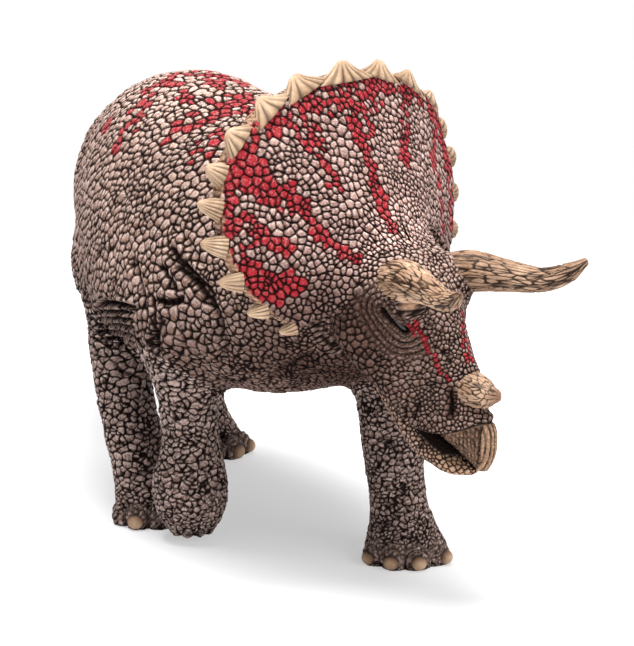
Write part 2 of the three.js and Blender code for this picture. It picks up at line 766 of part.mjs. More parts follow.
// A spike on the rim, pointing away from the frill's root. The largest is at the top, where
// the spikes also lean forwards the most.
function frillSpike(index) {
  const share = (2 * index) / (FRILL_SPIKE_COUNT - 1) - 1;
  const at = share * FRILL_SPAN;
  const size = 1 - (1 - SMALLEST_SPIKE_SHARE) * share ** 2;
  const start = frillPoint(at, SPIKE_SHARES.root);
  const out = frillPoint(at, 1).sub(start).normalize();
  const lean = SPIKE_SHARES.lean * (1 - SPIKE_SHARES.leanFall * Math.abs(share));
  out.addScaledVector(headPlace.along, lean).normalize();
  const length = frillPoint(at, 1).distanceTo(start) + size * FRILL_SPIKE_LENGTH;
  const step = FRILL_SPAN / (FRILL_SPIKE_COUNT - 1);
  const along = frillPoint(at + step, 1).sub(frillPoint(at - step, 1));
  const halfWidth = SPIKE_SHARES.half * size * along.length();
  const across = along.clone().normalize();
  const spike = new Placement(start.toArray(), out.toArray(), out.clone().cross(across).toArray());
  const half = SPIKE_SHARES.thick * FRILL_THICKNESS;
  const table = SPIKE_GIRTH_SHARES.map((girth, k) => {
    const run = k / (SPIKE_GIRTH_SHARES.length - 1);
    return [run * length, 0, 0, girth * halfWidth, girth * half, girth * half];
  });
  return stack(spike, table, SPIKE_GIRTH_SHARES.length, SIDE_COUNTS.spike);
}

function frillPeg(at, clearance) {
  const { inner, outer } = FRILL_PEG_SHARES;
  const start = frillPoint(at, inner);
  const back = start.clone().sub(frillPoint(at, outer)).setLength(clearance);
  return rod(start.add(back), frillPoint(at, outer), FRILL_PEG_RADIUS + clearance);
}

function frill() {
  const spikes = Array.from({ length: FRILL_SPIKE_COUNT }, (_, index) => frillSpike(index));
  const pegs = FRILL_PEG_SHARES.places.map((at) => frillPeg(at, 0));
  return join(cut(join(frillPlate(), spikes), skullClear, torsoClear), pegs);
}

// The head: the skull and upper beak in one with the neck, and a plug into the body.
function head() {
  const neck = torsoOuter.intersect(ahead(neckSeamX));
  const fit = -SHELL_WALL - PEG_CLEARANCE;
  const hollow = torso(fit, RING_COUNTS.hollow, SIDE_COUNTS.hollow);
  const plug = cut(
    hollow.intersect(ahead(neckSeamX - NECK_PLUG_REACH)),
    ahead(neckSeamX + CUT_OVERRUN),
  );
  return cut(
    join(skull(0), neck, plug),
    jawSweep(SEAM_GAP),
    mouth(),
    legPegHoles,
    Object.values(HORNS).map((horn) => hornPeg(horn, PEG_CLEARANCE)),
    FRILL_PEG_SHARES.places.map((at) => frillPeg(at, PEG_CLEARANCE)),
  );
}

place("torso_right_shell", shell(-1), HIDE);
place("torso_left_shell", shell(1), HIDE);
Object.entries(LEGS).forEach(([name, made]) => place(name, leg(made), LEG_HIDE));
place("tail", tail(), HIDE);
place("head", head(), HIDE);
place("lower_jaw", jawSweep(0), HIDE);
place("frill", frill(), FRILL_HIDE);
Object.entries(HORNS).forEach(([name, made]) => place(name, horn(made), BONE));

// The origin is on the ground, under the middle of the figure
const box = new THREE.Box3().setFromObject(figure);
const middle = box.getCenter(new THREE.Vector3());
figure.position.set(-middle.x, -middle.y, -box.min.z);

export default figure;
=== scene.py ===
"""The looks of a toy horned dinosaur figure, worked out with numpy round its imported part.

Every form is worked out in millimetres in the figure's own frame: the rump at x 0, the
middle plane at y 0, the ground at z 0 and the head towards +x. A finished mesh is moved
into the part's frame and turned to metres as it is made.
"""
import logging
import math
from dataclasses import dataclass, field
from enum import Enum

import bpy
import numpy as np
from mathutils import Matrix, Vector


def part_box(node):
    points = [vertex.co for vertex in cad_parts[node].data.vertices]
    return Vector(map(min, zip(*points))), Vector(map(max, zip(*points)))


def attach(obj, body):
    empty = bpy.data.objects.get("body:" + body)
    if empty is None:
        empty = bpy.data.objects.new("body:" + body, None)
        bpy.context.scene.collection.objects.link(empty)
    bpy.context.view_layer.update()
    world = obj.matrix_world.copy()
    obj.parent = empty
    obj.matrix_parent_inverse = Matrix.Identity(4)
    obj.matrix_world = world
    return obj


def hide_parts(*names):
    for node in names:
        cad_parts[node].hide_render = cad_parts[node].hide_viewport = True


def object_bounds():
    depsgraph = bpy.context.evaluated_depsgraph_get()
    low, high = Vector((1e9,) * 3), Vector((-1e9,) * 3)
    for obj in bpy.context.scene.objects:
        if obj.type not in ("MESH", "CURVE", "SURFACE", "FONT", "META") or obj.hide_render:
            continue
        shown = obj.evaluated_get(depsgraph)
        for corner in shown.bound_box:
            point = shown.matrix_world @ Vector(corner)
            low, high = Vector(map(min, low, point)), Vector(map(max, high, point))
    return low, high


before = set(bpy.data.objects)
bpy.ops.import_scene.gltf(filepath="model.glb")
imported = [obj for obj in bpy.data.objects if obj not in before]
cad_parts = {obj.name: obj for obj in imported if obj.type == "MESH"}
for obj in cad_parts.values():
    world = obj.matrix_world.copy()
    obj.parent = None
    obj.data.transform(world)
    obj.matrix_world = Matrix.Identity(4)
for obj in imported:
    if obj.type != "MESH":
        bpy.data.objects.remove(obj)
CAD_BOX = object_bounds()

Array = np.ndarray
LOG = logging.getLogger("figure")
BODY = "root"
REFINE_FULL = 4
REFINE = REFINE_FULL
X, Y, Z = np.eye(3)

# Sizes of the figure in millimetres, as in the part's source
BODY_LENGTH = 117.0
BODY_HALF_WIDTH = 33.0
BACK_HEIGHT = 96.0
LEG_HEIGHT = 62.0
TAIL_LENGTH = 72.0
TAIL_ROOT_RADIUS = 16.0
SKULL_HEIGHT = 46.0
SKULL_DEPTH = 41.0
SKULL_HALF_WIDTH = 14.0
JAW_DEPTH = 3.9
FRILL_REACH = 41.0
FRILL_HALF_WIDTH = 36.4
FRILL_THICKNESS = 3.4
FRILL_SPIKE_LENGTH = 4.0
FRILL_SPIKES = 19
# Turns a gap along the head into one square to the frill
FRILL_LEAN_COSINE = 0.87
HEAD_TURN_DEGREES = 24.0
HEAD_MIDDLE = (130.572, 11.484, 67.584)
NECK_SEAM_SHARE = 0.87
SEAM_GAP = 0.3

# How far the skins stay inside the part's box, and the soles above the ground
BOX_MARGIN = 0.02
SOLE_HEIGHT = 0.05

# Widths of the fillets at which the forms run together
LEG_FILLET = 6.0
TAIL_FILLET = 7.0
NECK_FILLET = 6.0
FRILL_FILLET = 5.0
JAW_FILLET = 1.2
BOSS_FILLET = 3.0
TOE_FILLET = 0.8

# The skin's slow swells: height, wavelength and which waves
SWELLS = ((0.14, 13, 3), (0.08, 6, 5))
# Gaps sideways of the figure count a third, so a line a little off the skin still marks it
SQUASH = np.array([1, 0.35, 1])
# How many points are looked at together in the search for the nearest seeds
CHUNK = 12000


def curve(table: Array, at: Array) -> Array:
    """A smooth curve through a table's rows: cubics with their neighbours' slope at each row.

    Args:
        table: Rows of a parameter and its values.
        at: Parameters to read at.

    Returns:
        The values at each parameter, one more axis than at.
    """
    keys, values = table[:, 0], table[:, 1:]
    rows = np.arange(len(keys))
    before, after = np.maximum(rows - 1, 0), np.minimum(rows + 1, len(keys) - 1)
    slope = (values[after] - values[before]) / (keys[after] - keys[before])[:, None]
    row = np.clip(np.searchsorted(keys, at, side="right") - 1, 0, len(keys) - 2)
    run = (keys[row + 1] - keys[row])[..., None]
    s = (at - keys[row])[..., None] / run
    return (
        (2 * s**3 - 3 * s**2 + 1) * values[row]
        + (s**3 - 2 * s**2 + s) * run * slope[row]
        + (3 * s**2 - 2 * s**3) * values[row + 1]
        + (s**3 - s**2) * run * slope[row + 1]
    )


def ease(low: float, high: float, value: Array) -> Array:
    """0 below low, 1 above high and a smooth step between; low may be the larger one."""
    share = np.clip((value - low) / (high - low), 0, 1)
    return share * share * (3 - 2 * share)


def bell(value: Array, width: float) -> Array:
    """exp(-(value / width)^2): 1 at 0 and falling off to both sides."""
    return np.exp(-((value / width) ** 2))


def ripple(value: Array, period: float) -> Array:
    """A wave from 0 to 1 and back in each period, 0 where the value is 0."""
    return 0.5 - 0.5 * np.cos(2 * np.pi * value / period)


def full_turn(count: int) -> Array:
    """Even turns round a ring, in radians."""
    return np.arange(count) / count * 2 * np.pi


def waves(points: Array, length: float, seed: int) -> Array:
    """Soft random waves in space: the mean of ten sines of random heading, about -1 to 1.

    Args:
        points: Places in mm.
        length: The usual wavelength in mm.
        seed: Picks the headings.

    Returns:
        One value for each point.
    """
    random = np.random.default_rng(seed)
    heading = random.normal(size=(10, 3))
    heading /= np.linalg.norm(heading, axis=1, keepdims=True)
    heading *= 2 * np.pi / (length * random.uniform(0.7, 1.5, 10))[:, None]
    phase = random.uniform(0, 2 * np.pi, 10)
    return np.sin(points @ heading.T + phase).sum(-1) / 3.5


def line_gap(points: Array, line: Array) -> tuple[Array, Array]:
    """How far each point is from a line of straight runs, and how far along the line.

    Args:
        points: Places, one a row.
        line: The line's corners.

    Returns:
        The distance in mm, and the share of the line's corners passed.
    """
    start, run = line[:-1], np.diff(line, axis=0)
    away = points[:, None] - start
    along = np.clip((away * run).sum(-1) / (run**2).sum(-1), 0, 1)
    gap = np.linalg.norm(away - along[..., None] * run, axis=-1)
    best = gap.argmin(1)
    rows = np.arange(len(points))
    return gap[rows, best], (best + along[rows, best]) / len(run)


@dataclass(frozen=True)
class Place:
    """Where a form stands: its origin and its directions along, side and up."""

    origin: Array
    basis: Array

    @classmethod
    def at(cls, origin: Array, along: Array, up: Array) -> "Place":
        """A place from its origin, its heading and its upward direction."""
        along = np.asarray(along, float) / np.linalg.norm(along)
        side = np.cross(up, along)
        side /= np.linalg.norm(side)
        return cls(np.asarray(origin, float), np.array([along, side, np.cross(along, side)]))

    def point(self, local: Array) -> Array:
        """Places given along, side and up, in the figure's frame."""
        return self.origin + local @ self.basis

    def local(self, points: Array) -> Array:
        """Places in the figure's frame, given along, side and up."""
        return (points - self.origin) @ self.basis.T


TURN = math.radians(HEAD_TURN_DEGREES)
HEAD = Place.at(HEAD_MIDDLE, (math.cos(TURN), math.sin(TURN), 0), Z)


class Form:
    """A solid form that can tell about how far outside it a point is."""

    def outside(self, points: Array) -> Array:
        """About the distance in mm from the form to each point, below 0 inside it."""
        raise NotImplementedError

    @staticmethod
    def capped(off: Array, beyond: Array) -> Array:
        """The distance to a form that stops at flat ends, from those to its side and ends."""
        return np.minimum(np.maximum(off, beyond), 0) + np.hypot(
            np.maximum(off, 0), np.maximum(beyond, 0)
        )

    @staticmethod
    def oval_gap(side: Array, up: Array, row: Array) -> Array:
        """The distance to an oval's edge in its plane, along the line to its middle.

        Args:
            side: Places sideways of the middle.
            up: Places above the middle.
            row: The oval's half width, reach up, reach down and taper for each place.

        Returns:
            The distances in mm, below 0 inside.
        """
        half, high, low, taper = row.T
        reach = np.where(up > 0, high, low)
        width = half
        for _ in range(3):
            size = np.maximum(np.hypot(side / width, up / reach), 1e-6)
            width = half * (1 - taper * np.clip(up / reach / size, 0, 1))
        return np.hypot(side, up) * (1 - 1 / size)


class Ringed(Form):
    """A form of oval sections, whose skin is rings: a place, and a table with a row a section."""

    def surface(self, at: Array, turn: Array) -> Array:
        """The skin's points at places along the form and turns round it, of the same shape."""
        raise NotImplementedError

    def rings(self, at: Array, columns: int) -> Array:
        """The skin's rings at places along the form, each of so many points."""
        return self.surface(*np.broadcast_arrays(at[:, None], full_turn(columns)))

    def even(self, spacing: float) -> Array:
        """Places along the form at which the skin's rows are about evenly spaced."""
        at = np.linspace(self.table[0, 0], self.table[-1, 0], 400)
        steps = np.linalg.norm(np.diff(self.rings(at, 8), axis=0), axis=-1).max(1)
        return spread(at, steps, spacing)

    def skin(self, radius: float, spacing: float) -> Array:
        """The skin's grid, evenly spaced along the form and, at the radius, round it."""
        return self.rings(self.even(spacing), round(2 * np.pi * radius / spacing))


@dataclass(frozen=True)
class OvalStack(Ringed):
    """Parallel oval sections: rows of along, side, up, half width, reach up, down, taper."""

    place: Place
    table: Array

    def surface(self, at: Array, turn: Array) -> Array:
        """The skin: middle + width cos(turn) sideways + reach sin(turn) upwards."""
        side, up, half, high, low, taper = np.moveaxis(curve(self.table, at), -1, 0)
        rise = np.sin(turn)
        width = half * (1 - taper * np.maximum(rise, 0))
        reach = np.where(rise > 0, high, low)
        local = np.stack([at, side + width * np.cos(turn), up + reach * rise], -1)
        return self.place.point(local)

    def outside(self, points: Array) -> Array:
        """The gap in the section's plane, joined with the gap to the ends."""
        local = self.place.local(points)
        first, last = self.table[0, 0], self.table[-1, 0]
        row = curve(self.table, np.clip(local[:, 0], first, last))
        off = self.oval_gap(local[:, 1] - row[:, 0], local[:, 2] - row[:, 1], row[:, 2:])
        return self.capped(off, np.maximum(first - local[:, 0], local[:, 0] - last))


@dataclass
class OvalSweep(Ringed):
    """Oval sections square to a path: rows of run, along, side, up, half width, reach up, down."""

    place: Place
    table: Array
    samples: int = 72
    middle: Array = field(init=False)
    frames: Array = field(init=False)
    girth: Array = field(init=False)
    speed: Array = field(init=False)

    def __post_init__(self) -> None:
        """Reads the path and its frames once, at even shares of its run."""
        run = np.linspace(0, 1, self.samples)
        rows = curve(self.table, run)
        self.middle = self.place.point(rows[:, :3])
        self.girth = np.hstack([rows[:, 3:6], np.zeros((self.samples, 1))])
        heading = np.gradient(self.middle, run, axis=0)
        self.speed = np.linalg.norm(heading, axis=1)
        heading /= self.speed[:, None]
        side = np.cross(self.place.basis[2], heading)
        side /= np.linalg.norm(side, axis=1, keepdims=True)
        self.frames = np.stack([heading, side, np.cross(heading, side)], 1)

    def read(self, values: Array, run: Array) -> Array:
        """Values kept at the samples, read between them at shares of the run."""
        place = np.clip(run, 0, 1) * (self.samples - 1)
        low = np.minimum(place.astype(int), self.samples - 2)
        share = (place - low).reshape(place.shape + (1,) * (values.ndim - 1))
        return values[low] * (1 - share) + values[low + 1] * share

    def surface(self, run: Array, turn: Array) -> Array:
        """The skin: path + width cos(turn) sideways + reach sin(turn) upwards."""
        middle, axes = self.read(self.middle, run), self.read(self.frames, run)
        half, high, low, _ = np.moveaxis(self.read(self.girth, run), -1, 0)
        rise = np.sin(turn)
        reach = np.where(rise > 0, high, low) * rise
        return (
            middle
            + (half * np.cos(turn))[..., None] * axes[..., 1, :]
            + reach[..., None] * axes[..., 2, :]
        )

    def share(self, points: Array) -> tuple[Array, Array]:
        """The share of the run nearest to each point, and the distance beyond its ends."""
        gap = ((points[:, None] - self.middle) ** 2).sum(-1)
        near = gap.argmin(1)
        ahead = ((points - self.middle[near]) * self.frames[near, 0]).sum(-1)
        run = near / (self.samples - 1) + ahead / self.speed[near]
        return run, np.maximum(-run, run - 1) * self.speed[near]

    def outside(self, points: Array) -> Array:
        """The gap in the section's plane, joined with the gap to the ends."""
        run, beyond = self.share(points)
        away = points - self.read(self.middle, run)
        axes = self.read(self.frames, run)
        side, up = (away * axes[:, 1]).sum(-1), (away * axes[:, 2]).sum(-1)
        return self.capped(self.oval_gap(side, up, self.read(self.girth, run)), beyond)


@dataclass(frozen=True)
class Lump(Form):
    """An oval lump: a middle, three directions and its half size along each."""

    middle: Array
    axes: Array
    halves: Array

    def surface(self, fall: Array, turn: Array) -> Array:
        """The skin: middle + half sizes times (cos(fall), sin(fall) cos/sin(turn)).

        Args:
            fall: The angle from the first direction.
            turn: The turn about it, of the same shape.

        Returns:
            The points in the figure's frame.
        """
        unit = [np.cos(fall), np.sin(fall) * np.cos(turn), np.sin(fall) * np.sin(turn)]
        return self.middle + (np.stack(unit, -1) * self.halves) @ self.axes

    def outside(self, points: Array) -> Array:
        """The usual estimate: k (k - 1) over the slope of k, the size in half sizes."""
        unit = (points - self.middle) @ self.axes.T / self.halves
        size = np.linalg.norm(unit, axis=1)
        return size * (size - 1) / np.maximum(np.linalg.norm(unit / self.halves, axis=1), 1e-6)


def spread(at: Array, steps: Array, spacing: float) -> Array:
    """Parameters at which a line, known by its steps between parameters, is evenly cut."""
    length = np.concatenate([[0], np.cumsum(steps)])
    count = max(4, round(length[-1] / spacing))
    return np.interp(np.linspace(0, length[-1], count + 1), length, at)


def soft_union(points: Array, forms: list[tuple[Form, float]]) -> Array:
    """The distance to several forms joined by fillets, by the quadratic soft minimum.

    Args:
        points: Places in mm.
        forms: The forms, each with the width of the fillet that joins it to those before.

    Returns:
        The distance from each point to the joined form.
    """
    total = forms[0][0].outside(points)
    for form, width in forms[1:]:
        other = form.outside(points)
        near = np.maximum(width - np.abs(total - other), 0) / width
        total = np.minimum(total, other) - near * near * width / 4
    return total


def settle(points: Array, forms: list[tuple[Form, float]], rounds: int = 4) -> Array:
    """Moves points onto the soft union of forms by Newton steps up its slope.

    Args:
        points: Places near the surface.
        forms: The forms with their fillets.
        rounds: How many steps.

    Returns:
        The places on the joined surface.
    """
    moved, nudge = points.copy(), 0.05
    for _ in range(rounds):
        gap = soft_union(moved, forms)
        slope = np.stack(
            [
                soft_union(moved + nudge * axis, forms) - soft_union(moved - nudge * axis, forms)
                for axis in (X, Y, Z)
            ],
            -1,
        ) / (2 * nudge)
        step = -gap / np.maximum((slope**2).sum(-1), 0.2)
        moved += np.clip(step, -1.5, 1.5)[:, None] * slope
    return moved


def refine(values: Array, times: int, closed: bool) -> Array:
    """More rows between rows, on the smooth curve through each four (Catmull-Rom).

    Args:
        values: Rows of anything.
        times: How many rows one becomes.
        closed: Whether the last row is followed by the first.

    Returns:
        The refined rows.
    """
    if closed:
        padded = np.concatenate([values[-1:], values, values[:2]])
    else:
        ends = 2 * values[:1] - values[1:2], 2 * values[-1:] - values[-2:-1]
        padded = np.concatenate([ends[0], values, ends[1]])
    a, b, c, d = (padded[k : len(padded) - 3 + k][:, None] for k in range(4))
    s = (np.arange(times) / times).reshape((1, times) + (1,) * (values.ndim - 1))
    made = (
        b
        + 0.5 * s * (c - a)
        + s**2 * (a - 2.5 * b + 2 * c - 0.5 * d)
        + s**3 * 0.5 * (3 * b - a - 3 * c + d)
    )
    made = made.reshape((-1,) + values.shape[1:])
    return made if closed else np.concatenate([made, values[-1:]])


def refine_grid(grid: Array, times: int) -> Array:
    """A grid whose columns run round, refined along its rows and round them."""
    rows = refine(grid, times, False)
    return np.swapaxes(refine(np.swapaxes(rows, 0, 1), times, True), 0, 1)


def slopes(grid: Array) -> tuple[Array, Array]:
    """A grid's steps from column to column and from row to row."""
    return (np.roll(grid, -1, 1) - np.roll(grid, 1, 1)) / 2, np.gradient(grid, axis=0)


def normals(grid: Array) -> Array:
    """The outward direction at each point of a grid that turns about its rows' heading."""
    across, along = slopes(grid)
    out = np.cross(across, along)
    return out / np.maximum(np.linalg.norm(out, axis=-1, keepdims=True), 1e-9)


def dome(grid: Array, height: float, steps: int = 5) -> Array:
    """Rounds off a grid's last row: rings that shrink by cos and rise by height times sin.

    Args:
        grid: Rows of rings.
        height: How far the dome stands out, in mm.
        steps: How many rings it adds.

    Returns:
        The grid with the dome's rings.
    """
    ring, middle = grid[-1], grid[-1].mean(0)
    heading = middle - grid[-2].mean(0)
    heading /= np.linalg.norm(heading)
    angle = np.linspace(0, np.pi / 2, steps + 1)[1:] * 0.97
    rings = middle + (ring - middle) * np.cos(angle)[:, None, None]
    return np.concatenate([grid, rings + height * np.sin(angle)[:, None, None] * heading])


def nearest_two(points: Array, seeds: Array, lead: Array, cell: float) -> tuple[Array, ...]:
    """The nearest seed of each point and the distances to the nearest two.

    Seeds are kept by the cube that they lie in, and a point looks through its own cube and
    the 26 round it. A seed with a lead counts as nearer by that much.

    Args:
        points: Places.
        seeds: The seeds' places.
        lead: The seeds' leads in mm.
        cell: The side of a cube.

    Returns:
        The nearest seed's index, its distance and the next one's, for each point.
    """
    low = np.minimum(points.min(0), seeds.min(0)) - 2 * cell
    size = ((np.maximum(points.max(0), seeds.max(0)) - low) / cell).astype(int) + 3
    stride = np.array([size[1] * size[2], size[2], 1])
    seed_cell = ((seeds - low) / cell).astype(int) @ stride
    order = np.argsort(seed_cell, kind="stable")
    cells, home = np.unique(((points - low) / cell).astype(int) @ stride, return_inverse=True)
    steps = (np.indices((3, 3, 3)).reshape(3, -1).T - 1) @ stride
    around = (cells[:, None] + steps).ravel()
    start = np.searchsorted(seed_cell[order], around)
    count = np.searchsorted(seed_cell[order], around, side="right") - start
    owner = np.repeat(np.arange(count.size), count)
    begin = np.cumsum(count) - count
    index = order[start[owner] + np.arange(owner.size) - begin[owner]]
    row = owner // len(steps)
    total = count.reshape(-1, len(steps)).sum(1)
    table = np.full((len(cells), max(total.max(), 2)), len(seeds))
    table[row, np.arange(owner.size) - begin[::len(steps)][row]] = index
    far = np.vstack([seeds, np.full(3, 1e4)]).astype(np.float32)
    ahead = np.append(lead, 0).astype(np.float32)
    nearest = np.zeros(len(points), int)
    gaps = np.zeros((len(points), 2), np.float32)
    by_count = np.argsort(total[home], kind="stable")
    for chunk in np.array_split(by_count, max(1, len(points) // CHUNK)):
        width = max(total[home[chunk]].max(), 2)
        near = table[home[chunk], :width]
        away = far[near] - points[chunk, None].astype(np.float32)
        gap = np.sqrt(np.einsum("ijk,ijk->ij", away, away)) - ahead[near]
        rows, first = np.arange(len(chunk)), gap.argmin(1)
        nearest[chunk] = near[rows, first]
        gaps[chunk, 0] = gap[rows, first]
        gap[rows, first] = np.inf
        gaps[chunk, 1] = gap.min(1)
    return np.minimum(nearest, len(seeds) - 1), gaps[:, 0], gaps[:, 1]


@dataclass
class Patch:
    """Skin to be sown with scales: its points, their two steps, the scales' size and a mask."""

    points: Array
    across: Array
    along: Array
    size: Array
    shown: Array


def pattern_space(points: Array) -> Array:
    """Places as the scale pattern sees them: taller low down, so leg scales come out wide."""
    low = np.minimum(points[:, 2] - 46, 0)
    stretch = 0.45 * low * ease(132, 122, points[:, 0])
    return np.column_stack([points[:, :2], points[:, 2] + stretch])


@dataclass
class Hide:
    """The moulded scales of the whole skin, one pattern through every piece.

    Seeds are sown over the skin as close as the scales there are wide, moved three times to
    the middle of what is nearest to them, and a scale is all that is nearest to its seed.
    ``height``, ``flank`` and ``seam`` are a scale's height, the width of its slope and half
    the width of the wash round it, each as a share of its size; the wash is widened on each
    scale's lower side as painted shade.
    """

    seed: int = 7
    paint_seed: int = 3
    cell: float = 2.7
    packing: float = 0.8
    tries: int = 13
    moves: int = 3
    usual_size: float = 1.5
    big_share: float = 0.07
    big_lead: float = 0.22
    height: float = 0.17
    flank: float = 0.19
    seam: float = 0.062
    seeds: Array = field(init=False)
    places: Array = field(init=False)
    size: Array = field(init=False)
    lead: Array = field(init=False)
    tint: Array = field(init=False)
    lift: Array = field(init=False)
    paint: Array = field(init=False)

    def sow(self, patches: list[Patch], beads: Array, bead_size: float) -> None:
        """Sows the seeds and gives each its size, tint and height.

        Args:
            patches: The skin to sow.
            beads: Places of single beads that keep their place.
            bead_size: The beads' width in mm.
        """
        random = np.random.default_rng(self.seed)
        points, across, along, size, shown = (
            np.concatenate([getattr(p, name) for p in patches])
            for name in ("points", "across", "along", "size", "shown")
        )
        area = np.linalg.norm(np.cross(across, along), axis=1) * shown
        crowd = area / (self.packing * size**2)
        count = int(crowd.sum())
        pick = random.choice(len(points), self.tries * count, p=crowd / crowd.sum())
        spot = random.uniform(-0.5, 0.5, (2, len(pick), 1))
        cloud = points[pick] + spot[0] * across[pick] + spot[1] * along[pick]
        first = random.permutation(len(cloud))[:count]
        cloud = np.hstack([pattern_space(cloud), cloud])
        both, own_size = self.evened(cloud, size[pick], cloud[first])
        bead_seen = pattern_space(beads)
        _, gap, _ = nearest_two(both[:, :3], bead_seen, np.zeros(len(beads)), 3.0)
        keep = gap > 0.62 * bead_size
        seeds = np.vstack([both[keep, :3], bead_seen])
        places = np.vstack([both[keep, 3:], beads])
        own_size = np.append(own_size[keep], np.full(len(beads), bead_size))
        total = len(seeds)
        self.seeds, self.places, self.size = seeds, places, own_size
        big = random.uniform(size=total) < self.big_share
        small_lead = random.uniform(-0.05, 0.05, total)
        self.lead = np.where(big, self.big_lead, small_lead) * own_size
        self.tint = random.uniform(size=total)
        self.lift = random.normal(size=total) * 0.03 * own_size
        self.paint = np.zeros(total)
        LOG.info("sown %d scales", total)

    def evened(self, cloud: Array, size: Array, seeds: Array) -> tuple[Array, Array]:
        """Moves seeds to the middle of what is nearest to them, and again.

        Args:
            cloud: Points of the skin, each as the pattern sees it and as it is.
            size: The scales' size at each.
            seeds: The first seeds, rows of the cloud.

        Returns:
            The moved seeds, and the mean size round each.
        """
        count = len(seeds)
        for step in range(self.moves + 1):
            near, _, _ = nearest_two(cloud[:, :3], seeds[:, :3], np.zeros(count), self.cell)
            held = np.maximum(np.bincount(near, minlength=count), 1)
            if step < self.moves:
                total = np.stack([np.bincount(near, c, minlength=count) for c in cloud.T], -1)
                seeds = np.where(total.any(1, keepdims=True), total / held[:, None], seeds)
        mean = np.bincount(near, size, minlength=count) / held
        return seeds, np.where(mean < 0.2 * self.usual_size, self.usual_size, mean)

    def colour(self, chance: Array, beads: int) -> None:
        """Paints scales red by chance, and the beads, which are the last seeds, for certain."""
        random = np.random.default_rng(self.paint_seed)
        self.paint = (random.uniform(size=len(chance)) < chance).astype(float)
        self.paint[-beads:] = 1.0

    def read(self, points: Array) -> dict[str, Array]:
        """The pattern at points of the skin.

        Args:
            points: Places in mm.

        Returns:
            The relief in mm, the rise up each scale from -1 to 1, and the rest from 0 to 1.
        """
        low = ease(60, 42, points[:, 2]) * ease(126, 118, points[:, 0])
        ragged = np.stack([waves(points, 1.9, 71 + k) for k in range(3)], -1)
        seen = pattern_space(points) + (0.06 + 0.26 * low)[:, None] * ragged
        near, first, second = nearest_two(seen, self.seeds, self.lead, self.cell)
        size = self.size[near]
        rise = np.clip((points[:, 2] - self.places[near, 2]) / (0.5 * size), -1, 1)
        edge = (second - first) / 2
        crown = 1 - (1 - np.minimum(edge / (self.flank * size), 1)) ** 2
        relief = (self.height + 0.09 * low) * size * (crown - 1)
        relief += (self.lift[near] - 0.03 * size * rise) * crown
        relief += 0.03 * size * (1 - np.minimum(first / (0.6 * size), 1) ** 2)
        # Painted shade: the near-black seam is wider on each scale's lower side, where light from above
        # leaves it in shade.
        wash = (self.seam + 0.03 * low - 0.04 * rise) * size + 0.02
        groove = 1 - ease(0, 1, (edge - wash) / (0.05 * size + 0.05))
        # Painted highlight: the band that the dry-brushing reaches is stronger on each scale's upper side.
        lip = ease(0.08, 0.14, edge / size) * ease(0.34, 0.2, edge / size) * (0.6 + 0.4 * rise)
        return {
            "lip": lip,
            "relief": relief,
            "groove": groove,
            "crown": crown,
            "rise": rise,
            "tint": self.tint[near],
            "paint": self.paint[near],
        }


class Slot(Enum):
    """The record's material slots."""

    HIDE = "hide"
    LEG_HIDE = "leg_hide"
    FRILL_HIDE = "frill_hide"
    BONE = "bone"


